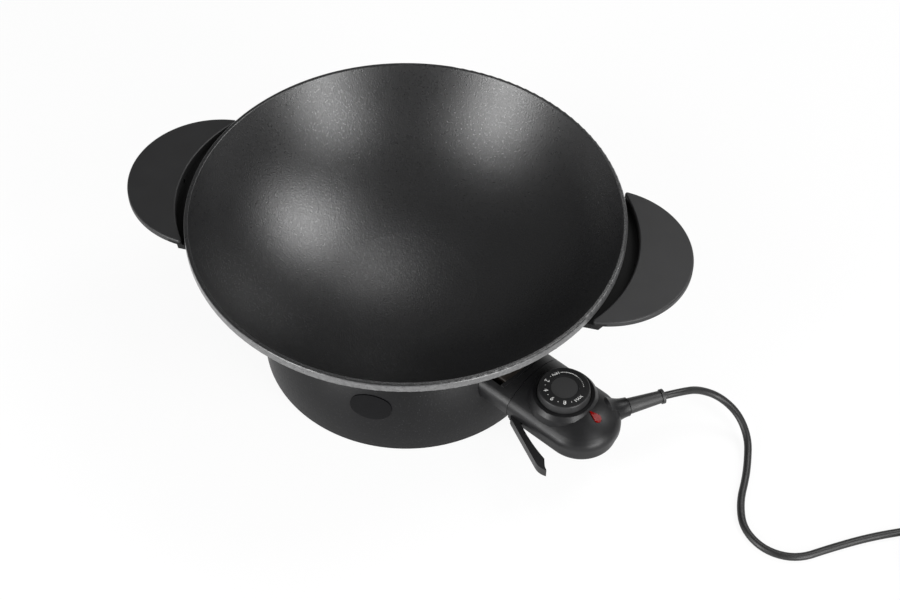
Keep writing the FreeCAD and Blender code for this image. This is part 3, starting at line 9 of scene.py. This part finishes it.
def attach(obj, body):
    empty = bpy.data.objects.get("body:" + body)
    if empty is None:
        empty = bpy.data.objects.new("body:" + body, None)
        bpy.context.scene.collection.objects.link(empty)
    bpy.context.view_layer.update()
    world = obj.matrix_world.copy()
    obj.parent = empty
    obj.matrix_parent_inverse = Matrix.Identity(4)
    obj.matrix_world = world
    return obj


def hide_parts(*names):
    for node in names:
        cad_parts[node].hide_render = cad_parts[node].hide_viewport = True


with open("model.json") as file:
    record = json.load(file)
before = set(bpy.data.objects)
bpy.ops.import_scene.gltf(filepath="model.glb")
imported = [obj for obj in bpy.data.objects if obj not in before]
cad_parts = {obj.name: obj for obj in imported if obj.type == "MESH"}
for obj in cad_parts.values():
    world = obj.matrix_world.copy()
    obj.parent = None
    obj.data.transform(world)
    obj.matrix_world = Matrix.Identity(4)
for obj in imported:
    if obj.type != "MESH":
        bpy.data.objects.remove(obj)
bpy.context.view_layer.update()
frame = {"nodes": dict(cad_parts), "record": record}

# Looks of the electric wok. Metres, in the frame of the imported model: +Z up, the bowl's axis
# at the origin, the table at zero, -Y towards the bare badge on the foot.

nodes = frame["nodes"]
scene = bpy.context.scene

MM = 0.001
PROBE_AZIMUTH = math.radians(-28.0)


def probe_point(reach, offset, height):
    """A place along and across the thermostat's axis, in millimetres, as a point in metres."""
    return Matrix.Rotation(PROBE_AZIMUTH, 3, "Z") @ Vector((reach, offset, height)) * MM


# Middle of the dial's printed ring, and radius of the sunk disc inside it, where the painted sheen on
# the knob stops.
DIAL_CENTRE = probe_point(172.9, 0.0, 77.0)
DISC_RADIUS = 0.0108


def add_object(name, data):
    thing = bpy.data.objects.new(name, data)
    scene.collection.objects.link(thing)
    return thing


# ---------------------------------------------------------------- camera

SENSOR_WIDTH = 36.0
FOCAL_LENGTH = 71.181
FARTHEST_SEEN = 50.0
CAMERA_PLACE = Vector((0.252595, -0.965083, 1.208897))
CAMERA_FORWARD = Vector((-0.141455, 0.636828, -0.757919))
CAMERA_RIGHT = Vector((0.971601, 0.236018, 0.016974))


def make_camera():
    data = bpy.data.cameras.new("camera")
    data.sensor_width = SENSOR_WIDTH
    data.lens = FOCAL_LENGTH
    data.clip_end = FARTHEST_SEEN
    camera = add_object("camera", data)
    up = CAMERA_RIGHT.cross(CAMERA_FORWARD)
    turn = Matrix((CAMERA_RIGHT, up, -CAMERA_FORWARD)).transposed()
    camera.matrix_world = Matrix.Translation(CAMERA_PLACE) @ turn.to_4x4()
    scene.camera = camera


# ---------------------------------------------------------------- mains lead

LEAD_DIAMETER = 0.0064

# The lead leaves the strain relief, whose end is measured from the middle of the
# thermostat's round end, in millimetres.
BULB_REACH = 192.0
RELIEF_LENGTH = 74.0
RELIEF_HEIGHT = 50.0
RELIEF_TURN = math.radians(62.0)
RELIEF_EXIT = probe_point(BULB_REACH + RELIEF_LENGTH * math.cos(RELIEF_TURN),
                          RELIEF_LENGTH * math.sin(RELIEF_TURN), RELIEF_HEIGHT)

# Points of the lead from there to the coil, and from the coil to the plug.
LEAD_ROUTE = [
    (0.2458, -0.0387, 0.0486), (0.2584, -0.0257, 0.0390), (0.2764, -0.0195, 0.0279),
    (0.2948, -0.0253, 0.0172), (0.3065, -0.0413, 0.0073), (0.3093, -0.0629, 0.0034),
    (0.3098, -0.0802, 0.0032), (0.3083, -0.1048, 0.0032), (0.3143, -0.1301, 0.0032),
    (0.3343, -0.1466, 0.0032), (0.3603, -0.1477, 0.0032), (0.3840, -0.1313, 0.0032),
    (0.4160, -0.1115, 0.0032), (0.4547, -0.0937, 0.0032)]
TAIL_ROUTE = [
    (0.5403, -0.1481, 0.0032), (0.5389, -0.1578, 0.0032), (0.5351, -0.1668, 0.0033),
    (0.5291, -0.1746, 0.0037), (0.5213, -0.1805, 0.0044)]

COIL_CENTRE = Vector((0.4955, -0.1240, 0.0))
COIL_RADIUS = 0.0448
ENTRY_DEGREES = 114.7
COIL_ENTRY = math.radians(ENTRY_DEGREES)
COIL_TURNS = 5.0 + ENTRY_DEGREES / 360.0
TURN_POINTS = 18
LAYER_TURNS = 3

# Within a turn, where the lead starts to step inwards, to climb on the first layer and to
# step outwards, and the share of a turn that each step takes.
STEP_IN, CLIMB, STEP_OUT = 0.75, 0.60, 0.42
STEP_SHARE = 0.25

PLUG_CENTRE = Vector((0.475, -0.1998, 0.0))
PLUG_AZIMUTH = math.radians(22.5)
PLUG_RADIUS = 0.0187
PLUG_NECK_LENGTH = 0.014
PLUG_REACH = PLUG_RADIUS + PLUG_NECK_LENGTH
PLUG_NECK_HEIGHT = 0.0055


def eased_step(turn, start):
    """From 0 to 1 over a share of a turn that begins at start."""
    share = min(1.0, max(0.0, (turn - start) / STEP_SHARE))
    return share * share * (3.0 - 2.0 * share)


def coil_points():
    """Turns beside each other: inwards on the table, then outwards on top of the first layer."""
    # the spline runs inside its control points, so they lie a little further out
    swell = 1.0 / math.cos(math.pi / TURN_POINTS)
    count = round(COIL_TURNS * TURN_POINTS)
    points = []
    for i in range(count + 1):
        turn = COIL_TURNS * i / count
        inward = sum(eased_step(turn, k + STEP_IN) for k in range(LAYER_TURNS - 1))
        outward = sum(eased_step(turn, k + STEP_OUT) for k in range(LAYER_TURNS, 2 * LAYER_TURNS - 1))
        radius = (COIL_RADIUS - LEAD_DIAMETER * (inward - outward)) * swell
        height = LEAD_DIAMETER * (0.5 + eased_step(turn, LAYER_TURNS - 1 + CLIMB))
        angle = COIL_ENTRY - 2 * math.pi * turn
        points.append(COIL_CENTRE + Vector((radius * math.cos(angle), radius * math.sin(angle), height)))
    return points


def make_lead():
    plug_entry = PLUG_CENTRE + Vector((PLUG_REACH * math.cos(PLUG_AZIMUTH),
                                       PLUG_REACH * math.sin(PLUG_AZIMUTH), PLUG_NECK_HEIGHT))
    points = [RELIEF_EXIT] + [Vector(p) for p in LEAD_ROUTE] + coil_points()
    points += [Vector(p) for p in TAIL_ROUTE] + [plug_entry]
    curve = bpy.data.curves.new("mains_lead", "CURVE")
    curve.dimensions = "3D"
    # each point's radius is the lead's own, times this depth
    curve.bevel_depth = 1.0
    curve.bevel_resolution = 6
    curve.resolution_u = 6
    curve.use_fill_caps = True
    spline = curve.splines.new("NURBS")
    spline.points.add(len(points) - 1)
    for knot, point in zip(spline.points, points):
        knot.co = (*point, 1.0)
        knot.radius = LEAD_DIAMETER / 2
    spline.order_u = 3
    spline.use_endpoint_u = True
    lead = add_object("mains_lead", curve)
    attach(lead, "control")
    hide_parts("power_cord", "cord_coil", "cord_tail")
    return lead


# ---------------------------------------------------------------- material nodes

# The part of a noise's range that its clouds are spread over.
NOISE_LOW, NOISE_HIGH = 0.3, 0.7
NOISE_DETAIL = 2.0

# Squeeze of a noise's grains along X, Y and Z.
EVEN = (1.0, 1.0, 1.0)
DRAWN_ALONG_X = (1.0, 12.0, 12.0)

# Sockets of a Mix node that mixes colours.
FIRST_COLOR, SECOND_COLOR, MIXED_COLOR = 6, 7, 2


class Finish:
    """A material in the making: a Principled shader and the nodes that feed it.

    Sizes are in metres. painted is the colour, or the output, that feeds the base colour.
    """

    def __init__(self, name, color, roughness, metallic=0.0, specular=0.5):
        self.material = bpy.data.materials.new(name)
        self.material.use_nodes = True
        self.tree = self.material.node_tree
        self.shader = self.tree.nodes["Principled BSDF"]
        self.color = color
        self.painted = color
        self.roughness = roughness
        self.shader.inputs["Base Color"].default_value = (*color, 1.0)
        self.shader.inputs["Roughness"].default_value = roughness
        self.shader.inputs["Metallic"].default_value = metallic
        self.shader.inputs["Specular IOR Level"].default_value = specular
        self.place = self.node("ShaderNodeTexCoord").outputs["Object"]

    def node(self, kind, **settings):
        made = self.tree.nodes.new(kind)
        for key, value in settings.items():
            setattr(made, key, value)
        return made

    def join(self, output, target):
        self.tree.links.new(output, target)

    def noise(self, size, squeeze=EVEN):
        """Noise with grains of about that size, shorter along each axis by its squeeze."""
        mapping = self.node("ShaderNodeMapping")
        mapping.inputs["Scale"].default_value = squeeze
        self.join(self.place, mapping.inputs["Vector"])
        made = self.node("ShaderNodeTexNoise")
        made.inputs["Scale"].default_value = 1.0 / size
        made.inputs["Detail"].default_value = NOISE_DETAIL
        self.join(mapping.outputs["Vector"], made.inputs["Vector"])
        return made.outputs["Fac"]

    def span(self, value, low, high, to_low, to_high):
        """Map one range of a value onto another."""
        made = self.node("ShaderNodeMapRange")
        made.inputs["From Min"].default_value = low
        made.inputs["From Max"].default_value = high
        made.inputs["To Min"].default_value = to_low
        made.inputs["To Max"].default_value = to_high
        self.join(value, made.inputs["Value"])
        return made.outputs["Result"]

    def rise(self, value, start, width):
        """From 0 at the start to 1 beyond that width; a negative width rises downwards."""
        return self.span(value, start, start + width, 0.0, 1.0)

    def clouds(self, size, low=0.0, high=1.0, squeeze=EVEN):
        """Noise of that size, spread from low to high."""
        return self.span(self.noise(size, squeeze), NOISE_LOW, NOISE_HIGH, low, high)

    def blend(self, share, first, second):
        """Mix two colours, each a colour or an output, by a share."""
        made = self.node("ShaderNodeMix", data_type="RGBA")
        self.join(share, made.inputs["Factor"])
        for socket, value in ((made.inputs[FIRST_COLOR], first), (made.inputs[SECOND_COLOR], second)):
            if isinstance(value, tuple):
                socket.default_value = (*value, 1.0)
            else:
                self.join(value, socket)
        return made.outputs[MIXED_COLOR]

    def mottle(self, size, spread):
        """Vary the colour gently in clouds of that size."""
        low = tuple(channel * (1.0 - spread) for channel in self.color)
        high = tuple(channel * (1.0 + spread) for channel in self.color)
        self.paint(self.blend(self.clouds(size), low, high))

    def paint(self, output):
        self.painted = output
        self.join(output, self.shader.inputs["Base Color"])

    def vary_roughness(self, size, spread, squeeze=EVEN):
        varied = self.clouds(size, self.roughness - spread, self.roughness + spread, squeeze)
        self.join(varied, self.shader.inputs["Roughness"])

    def grain(self, size, depth, strength=1.0, squeeze=EVEN):
        """Fine relief with grains of that size and depth."""
        made = self.node("ShaderNodeBump")
        made.inputs["Distance"].default_value = depth
        made.inputs["Strength"].default_value = strength
        self.join(self.noise(size, squeeze), made.inputs["Height"])
        self.join(made.outputs["Normal"], self.shader.inputs["Normal"])

    def sparkle(self, size, share, color):
        """Small bright flakes: a share of the cells of that size is painted in the colour."""
        cells = self.node("ShaderNodeTexVoronoi")
        cells.inputs["Scale"].default_value = 1.0 / size
        self.join(self.place, cells.inputs["Vector"])
        pick = self.node("ShaderNodeSeparateColor")
        self.join(cells.outputs["Color"], pick.inputs["Color"])
        chosen = self.span(pick.outputs["Red"], 1.0 - share, 1.0, 0.0, 1.0)
        self.paint(self.blend(chosen, self.painted, color))

    def axis_distance(self, axis=(0.0, 0.0)):
        """Distance from an upright axis, the bowl's if none is named, and the height, in metres."""
        moved = self.node("ShaderNodeVectorMath", operation="SUBTRACT")
        self.join(self.place, moved.inputs[0])
        moved.inputs[1].default_value = (*axis, 0.0)
        split = self.node("ShaderNodeSeparateXYZ")
        self.join(moved.outputs["Vector"], split.inputs["Vector"])
        flat = self.node("ShaderNodeCombineXYZ")
        self.join(split.outputs["X"], flat.inputs["X"])
        self.join(split.outputs["Y"], flat.inputs["Y"])
        length = self.node("ShaderNodeVectorMath", operation="LENGTH")
        self.join(flat.outputs["Vector"], length.inputs[0])
        return length.outputs["Value"], split.outputs["Z"]

    def both(self, first, second):
        """Share of what two shares have in common."""
        made = self.node("ShaderNodeMath", operation="MULTIPLY")
        self.join(first, made.inputs[0])
        self.join(second, made.inputs[1])
        return made.outputs["Value"]


# ---------------------------------------------------------------- finishes

# Edges of the painted reflection on the rim's band, of the painted shade in the handles' recess and of
# the painted sheen on the dial's disc, as a radius or a height, and how softly each is drawn.
BAND_RADIUS = 0.1792
BAND_BOTTOM = 0.1526
BAND_TOP = 0.1596
BAND_EDGE = 0.0004
BAND_TOP_EDGE = 0.0006
RECESS_RADIUS = 0.1935
RECESS_EDGE = 0.001
RECESS_TOP = 0.1526
RECESS_TOP_EDGE = 0.0006
DISC_EDGE = 0.0002

# Clouds of colour and of roughness in moulded plastic, as size and spread, and its texture.
MOULD_CLOUDS = (0.02, 0.12)
MOULD_SHEEN = (0.008, 0.04)
MOULD_GRAIN = 0.0006
MOULD_DEPTH = 0.00003
MOULD_STRENGTH = 0.5

# Roughness inside the handles' recess, and depth of the marks in bare metal.
MATT = 0.95
METAL_DEPTH = 0.000012


def bowl_finish():
    """Non-stick coating with a fine grain; the rim's turned band is painted lighter, as a painted
    reflection of the pale floor.
    """
    finish = Finish("bowl_coating", (0.007, 0.007, 0.0075), 0.32, specular=0.86)
    finish.mottle(0.045, 0.12)
    distance, height = finish.axis_distance()
    outside = finish.rise(distance, BAND_RADIUS, BAND_EDGE)
    above = finish.rise(height, BAND_BOTTOM, BAND_EDGE)
    below = finish.rise(height, BAND_TOP, -BAND_TOP_EDGE)
    band = finish.both(outside, finish.both(above, below))
    # Painted reflection: the rim's band is painted a lighter grey where it mirrors the pale floor.
    band_reflection = finish.blend(finish.clouds(0.003), (0.060, 0.060, 0.061), (0.105, 0.105, 0.106))
    finish.paint(finish.blend(band, finish.painted, band_reflection))
    finish.vary_roughness(0.0015, 0.06)
    finish.grain(0.0013, 0.00020, 1.0)
    return finish.material


def moulded(name, color, roughness, grain=MOULD_GRAIN, depth=MOULD_DEPTH,
            strength=MOULD_STRENGTH, specular=0.5):
    """A moulded, pressed or painted surface with a fine, even texture."""
    finish = Finish(name, color, roughness, specular=specular)
    finish.mottle(*MOULD_CLOUDS)
    finish.vary_roughness(*MOULD_SHEEN)
    finish.grain(grain, depth, strength)
    return finish.material


def handle_finish():
    """Moulded plastic, left matt in the recess beside the bowl's rim and painted near black there as
    painted shade.
    """
    finish = Finish("handle_plastic", (0.011, 0.011, 0.0115), 0.50)
    finish.mottle(*MOULD_CLOUDS)
    distance, height = finish.axis_distance()
    recess = finish.both(finish.rise(distance, RECESS_RADIUS, -RECESS_EDGE),
                         finish.rise(height, RECESS_TOP, -RECESS_TOP_EDGE))
    # Painted shade: the recess beside the rim is painted near black where shade falls.
    finish.paint(finish.blend(recess, finish.painted, (0.0010, 0.0010, 0.0010)))
    roughness = finish.span(recess, 0.0, 1.0, finish.roughness, MATT)
    finish.join(roughness, finish.shader.inputs["Roughness"])
    finish.grain(MOULD_GRAIN, MOULD_DEPTH, MOULD_STRENGTH)
    return finish.material


def knob_finish():
    """Moulded plastic; the sunk disc on top is painted lighter than the ring and the flank, as a painted
    sheen of the lamps.
    """
    finish = Finish("knob_plastic", (0.018, 0.018, 0.0185), 0.42, specular=0.4)
    finish.mottle(*MOULD_CLOUDS)
    distance = finish.axis_distance((DIAL_CENTRE.x, DIAL_CENTRE.y))[0]
    disc = finish.rise(distance, DISC_RADIUS + DISC_EDGE, -DISC_EDGE)
    # Painted sheen: the sunk disc is painted lighter where the lamps' sheen falls on it.
    finish.paint(finish.blend(disc, finish.painted, (0.052, 0.052, 0.0525)))
    finish.vary_roughness(*MOULD_SHEEN)
    finish.grain(MOULD_GRAIN, MOULD_DEPTH, MOULD_STRENGTH)
    return finish.material


def foot_finish():
    """Satin black paint with a few metallic flakes."""
    finish = Finish("foot_paint", (0.004, 0.004, 0.0045), 0.45, specular=0.22)
    finish.mottle(0.03, 0.12)
    finish.sparkle(0.0005, 0.03, (0.03, 0.03, 0.031))
    finish.vary_roughness(0.0020, 0.04)
    finish.grain(0.0018, 0.00012, 1.0)
    return finish.material


def metal(name, color, roughness, squeeze=EVEN):
    """Bare metal with fine marks, drawn out along an axis if the others are squeezed."""
    finish = Finish(name, color, roughness, metallic=1.0)
    finish.mottle(0.006, 0.08)
    finish.vary_roughness(0.004, 0.06, squeeze)
    finish.grain(0.0012, METAL_DEPTH, 0.6, squeeze)
    return finish.material


def lens_finish():
    """Red plastic, deep enough in colour that little shows through."""
    finish = Finish("lens_red", (0.17, 0.002, 0.0015), 0.15, specular=0.06)
    finish.mottle(0.002, 0.15)
    finish.shader.inputs["Transmission Weight"].default_value = 0.1
    finish.vary_roughness(0.001, 0.02)
    return finish.material


def lamp_finish():
    """Glass of the small lamp behind the lens."""
    finish = Finish("lamp_glass", (0.9, 0.6, 0.45), 0.05)
    finish.mottle(0.002, 0.05)
    finish.shader.inputs["Transmission Weight"].default_value = 0.8
    finish.grain(0.001, 0.00001, 0.3)
    return finish.material


def ceramic_finish():
    """Unglazed ceramic of the insulating beads."""
    finish = Finish("ceramic", (0.78, 0.76, 0.71), 0.75)
    finish.mottle(0.002, 0.05)
    finish.grain(0.0004, 0.00003, 0.8)
    return finish.material


def marking_finish():
    """Pale print on the dial."""
    finish = Finish("dial_print", (0.60, 0.60, 0.59), 0.6)
    finish.mottle(0.0006, 0.2)
    finish.grain(0.0005, 0.00001, 0.5)
    return finish.material


FINISHES = {
    "bowl": bowl_finish(),
    "element": metal("sheath", (0.20, 0.18, 0.165), 0.5),
    "brass": metal("brass", (0.75, 0.55, 0.24), 0.25),
    "ceramic": ceramic_finish(),
    "steel": metal("plated_steel", (0.56, 0.56, 0.55), 0.35),
    "fastener": metal("zinc", (0.50, 0.51, 0.53), 0.32),
    "guard": moulded("guard_plastic", (0.007, 0.007, 0.0075), 0.36, specular=0.35),
    "foot": foot_finish(),
    "sheet": moulded("plate_paint", (0.020, 0.020, 0.021), 0.55),
    "rubber": moulded("foot_rubber", (0.018, 0.018, 0.018), 0.8, grain=0.0012, depth=0.00004),
    "shield": metal("aluminium_sheet", (0.80, 0.80, 0.81), 0.38, DRAWN_ALONG_X),
    "washer": moulded("mineral_fibre", (0.62, 0.60, 0.54), 0.85, depth=0.00005),
    "badge": moulded("badge_gloss", (0.003, 0.003, 0.0035), 0.18, grain=0.0012, depth=0.000006,
                     specular=0.15),
    "handle": handle_finish(),
    "housing": moulded("housing_plastic", (0.008, 0.008, 0.0085), 0.38, specular=0.28),
    "carrier": moulded("phenolic", (0.045, 0.036, 0.030), 0.5),
    "probe": metal("probe_steel", (0.62, 0.62, 0.62), 0.2),
    "lens": lens_finish(),
    "lamp": lamp_finish(),
    "relief": moulded("relief_rubber", (0.015, 0.015, 0.015), 0.48),
    "lead": moulded("lead_rubber", (0.011, 0.011, 0.011), 0.42, depth=0.000008, strength=0.4,
                    specular=0.4),
    "plug": moulded("plug_plastic", (0.014, 0.014, 0.014), 0.45),
    "pins": metal("nickel", (0.72, 0.71, 0.68), 0.18),
    "spindle": metal("turned_steel", (0.58, 0.58, 0.58), 0.28),
    "knob": knob_finish(),
    "lever": moulded("lever_plastic", (0.010, 0.010, 0.0105), 0.40, specular=0.35),
}


def dress(thing, material):
    thing.data.materials.clear()
    thing.data.materials.append(material)


def dress_nodes():
    """Give each node of the frame the finish of its slot in the record."""
    for part in frame["record"]["subparts"]:
        thing = nodes[part["node"]]
        finish = FINISHES[part["material_slot"]]
        if thing.material_slots:
            for slot in thing.material_slots:
                slot.material = finish
        else:
            dress(thing, finish)


# ---------------------------------------------------------------- dial

# Angles are in degrees from the thermostat's axis, anticlockwise seen from above.
DIAL_RADIUS = 0.0156
MARK_THICKNESS = 0.00006
DIAL_WORDS = {"MIN": 157.0, "2": -165.0, "4": -128.0, "6": -90.0, "8": -50.0, "MAX": -4.0}
WORD_SIZE = {1: 0.0055, 3: 0.0037}
WORD_WEIGHT = 0.00006
HEADS_INWARDS = 90.0
DOTS = (176.0, -147.0, -109.0, -70.0, -29.0)
DOT_RADIUS = 0.00042
DOT_SIDES = 12
ARC_START, ARC_END, DASH_END = 143.0, 86.0, 46.0
ARC_WIDTH = 0.0007
ARC_STEPS = 24
DASHES = 7
DASH_GAP = 4.0
HALF_DASH = 1.2
DASH_WIDTH = 0.0006
DASH_STEPS = 3


def dial_place(angle, radius):
    """A place on the dial, from its middle."""
    return Matrix.Rotation(PROBE_AZIMUTH + math.radians(angle), 3, "Z") @ Vector((radius, 0.0, 0.0))


def word_mesh(word, angle):
    """Flat letters of a word on the dial's ring."""
    curve = bpy.data.curves.new(word, "FONT")
    curve.body = word
    curve.size = WORD_SIZE[len(word)]
    curve.align_x = "CENTER"
    curve.align_y = "CENTER"
    curve.offset = WORD_WEIGHT
    letters = add_object(word, curve)
    turn = Matrix.Rotation(PROBE_AZIMUTH + math.radians(angle + HEADS_INWARDS), 4, "Z")
    letters.matrix_world = Matrix.Translation(DIAL_CENTRE + dial_place(angle, DIAL_RADIUS)) @ turn
    bpy.context.view_layer.update()
    mesh = bpy.data.meshes.new_from_object(letters.evaluated_get(bpy.context.evaluated_depsgraph_get()))
    mesh.transform(letters.matrix_world)
    bpy.data.objects.remove(letters)
    return mesh


def add_strip(mesh, start, end, width, steps):
    """Flat band along the dial's ring between two angles."""
    rows = []
    for i in range(steps + 1):
        angle = start + (end - start) * i / steps
        rows.append([mesh.verts.new(DIAL_CENTRE + dial_place(angle, DIAL_RADIUS + side * width / 2))
                     for side in (-1, 1)])
    for here, after in zip(rows, rows[1:]):
        mesh.faces.new((here[0], here[1], after[1], after[0]))


def add_dot(mesh, angle):
    centre = DIAL_CENTRE + dial_place(angle, DIAL_RADIUS)
    ring = [mesh.verts.new(centre + Vector((DOT_RADIUS * math.cos(2 * math.pi * k / DOT_SIDES),
                                            DOT_RADIUS * math.sin(2 * math.pi * k / DOT_SIDES), 0.0)))
            for k in range(DOT_SIDES)]
    mesh.faces.new(ring)


def make_dial_marks():
    """Words, dots, a line and its dashes, as one thin raised print."""
    mesh = bmesh.new()
    for word, angle in DIAL_WORDS.items():
        mesh.from_mesh(word_mesh(word, angle))
    for angle in DOTS:
        add_dot(mesh, angle)
    add_strip(mesh, ARC_START, ARC_END, ARC_WIDTH, ARC_STEPS)
    first_dash = ARC_END - DASH_GAP
    for k in range(DASHES):
        angle = first_dash - (first_dash - DASH_END) * k / (DASHES - 1)
        add_strip(mesh, angle + HALF_DASH, angle - HALF_DASH, DASH_WIDTH, DASH_STEPS)
    bmesh.ops.recalc_face_normals(mesh, faces=mesh.faces)
    for face in mesh.faces:
        if face.normal.z < 0:
            face.normal_flip()
    top = bmesh.ops.extrude_face_region(mesh, geom=list(mesh.faces))
    raised = [item for item in top["geom"] if isinstance(item, bmesh.types.BMVert)]
    bmesh.ops.translate(mesh, verts=raised, vec=(0.0, 0.0, MARK_THICKNESS))
    bmesh.ops.recalc_face_normals(mesh, faces=mesh.faces)
    data = bpy.data.meshes.new("dial_marks")
    mesh.to_mesh(data)
    mesh.free()
    marks = add_object("dial_marks", data)
    dress(marks, marking_finish())
    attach(marks, "knob")


# ---------------------------------------------------------------- floor and lights

# Reach from the middle and height of the floor's rings.
SWEEP_PROFILE = [(9.0, 0.0), (10.4, 0.08), (11.3, 0.3), (11.8, 0.7), (12.0, 1.2), (12.0, 1.8)]
SWEEP_STEPS = 72
FLOOR_COLOR = (0.9, 0.9, 0.9, 1.0)
FLOOR_ROUGHNESS = 0.9

# How much of the floor shows as plain white; the rest keeps the object's shadow.
GLOW_SHARE = 0.9

WORLD_COLOR = (0.17, 0.17, 0.17, 1.0)

# Name, target, azimuth and elevation in degrees, distance, width and height, and watts.
SOFTBOXES = [
    ("front_right_lamp", (-0.100, 0.125, 0.136), -33.0, 21.0, 1.9, (0.55, 1.5), 22.0),
    ("front_left_lamp", (0.038, 0.150, 0.126), -126.0, 22.0, 1.9, (0.75, 1.5), 28.0),
    ("top_right_lamp", (-0.097, 0.036, 0.087), 34.0, 48.0, 1.9, (0.75, 0.8), 15.0),
    ("back_lamp", (0.15, -0.03, 0.10), 95.0, 57.0, 2.2, (0.6, 0.5), 3.5),
    ("low_right_lamp", (0.06, -0.10, 0.04), -42.0, 5.0, 1.2, (0.30, 0.22), 5.0),
    ("low_left_lamp", (-0.03, -0.11, 0.04), -122.0, 5.0, 1.2, (0.30, 0.22), 5.0),
]


def floor_mesh():
    """Round floor whose edge sweeps up into a low wall."""
    data = bpy.data.meshes.new("floor")
    mesh = bmesh.new()
    rings = [[mesh.verts.new((reach * math.cos(2 * math.pi * k / SWEEP_STEPS),
                              reach * math.sin(2 * math.pi * k / SWEEP_STEPS), height))
              for k in range(SWEEP_STEPS)] for reach, height in SWEEP_PROFILE]
    mesh.faces.new(rings[0])
    for inner, outer in zip(rings, rings[1:]):
        for k in range(SWEEP_STEPS):
            after = (k + 1) % SWEEP_STEPS
            mesh.faces.new((inner[k], outer[k], outer[after], inner[after]))
    for face in mesh.faces:
        face.smooth = True
    mesh.to_mesh(data)
    mesh.free()
    return data


def floor_finish():
    """White that glows for the camera and in gloss and glass, but lights nothing else."""
    material = bpy.data.materials.new("floor_white")
    material.use_nodes = True
    tree = material.node_tree
    shader = tree.nodes["Principled BSDF"]
    shader.inputs["Base Color"].default_value = FLOOR_COLOR
    shader.inputs["Roughness"].default_value = FLOOR_ROUGHNESS
    shader.inputs["Specular IOR Level"].default_value = 0.0
    glow = tree.nodes.new("ShaderNodeEmission")
    share = tree.nodes.new("ShaderNodeMixShader")
    rays = tree.nodes.new("ShaderNodeLightPath")
    seen = rays.outputs["Is Camera Ray"]
    for kind in ("Is Glossy Ray", "Is Transmission Ray"):
        either = tree.nodes.new("ShaderNodeMath")
        either.operation = "MAXIMUM"
        tree.links.new(seen, either.inputs[0])
        tree.links.new(rays.outputs[kind], either.inputs[1])
        seen = either.outputs["Value"]
    part = tree.nodes.new("ShaderNodeMath")
    part.operation = "MULTIPLY"
    part.inputs[1].default_value = GLOW_SHARE
    tree.links.new(seen, part.inputs[0])
    tree.links.new(part.outputs["Value"], share.inputs["Fac"])
    tree.links.new(shader.outputs["BSDF"], share.inputs[1])
    tree.links.new(glow.outputs["Emission"], share.inputs[2])
    tree.links.new(share.outputs["Shader"], tree.nodes["Material Output"].inputs["Surface"])
    return material


def make_floor():
    floor = add_object("floor", floor_mesh())
    dress(floor, floor_finish())


def make_world():
    world = bpy.data.worlds.new("studio")
    scene.world = world
    world.use_nodes = True
    world.node_tree.nodes["Background"].inputs["Color"].default_value = WORLD_COLOR


def make_softbox(name, target, azimuth, elevation, distance, size, power):
    """Rectangular lamp that faces the target from an azimuth and an elevation."""
    data = bpy.data.lights.new(name, "AREA")
    data.shape = "RECTANGLE"
    data.size, data.size_y = size
    data.energy = power
    lamp = add_object(name, data)
    lamp.visible_camera = False
    az, el = math.radians(azimuth), math.radians(elevation)
    towards = Vector((math.cos(el) * math.cos(az), math.cos(el) * math.sin(az), math.sin(el)))
    place = Vector(target) + towards * distance
    lamp.matrix_world = Matrix.Translation(place) @ towards.to_track_quat("Z", "Y").to_matrix().to_4x4()


make_camera()
lead = make_lead()
dress(lead, FINISHES["lead"])
dress_nodes()
make_dial_marks()
make_floor()
make_world()
for softbox in SOFTBOXES:
    make_softbox(*softbox)

scene.view_settings.view_transform = "Standard"
bpy.context.view_layer.update()
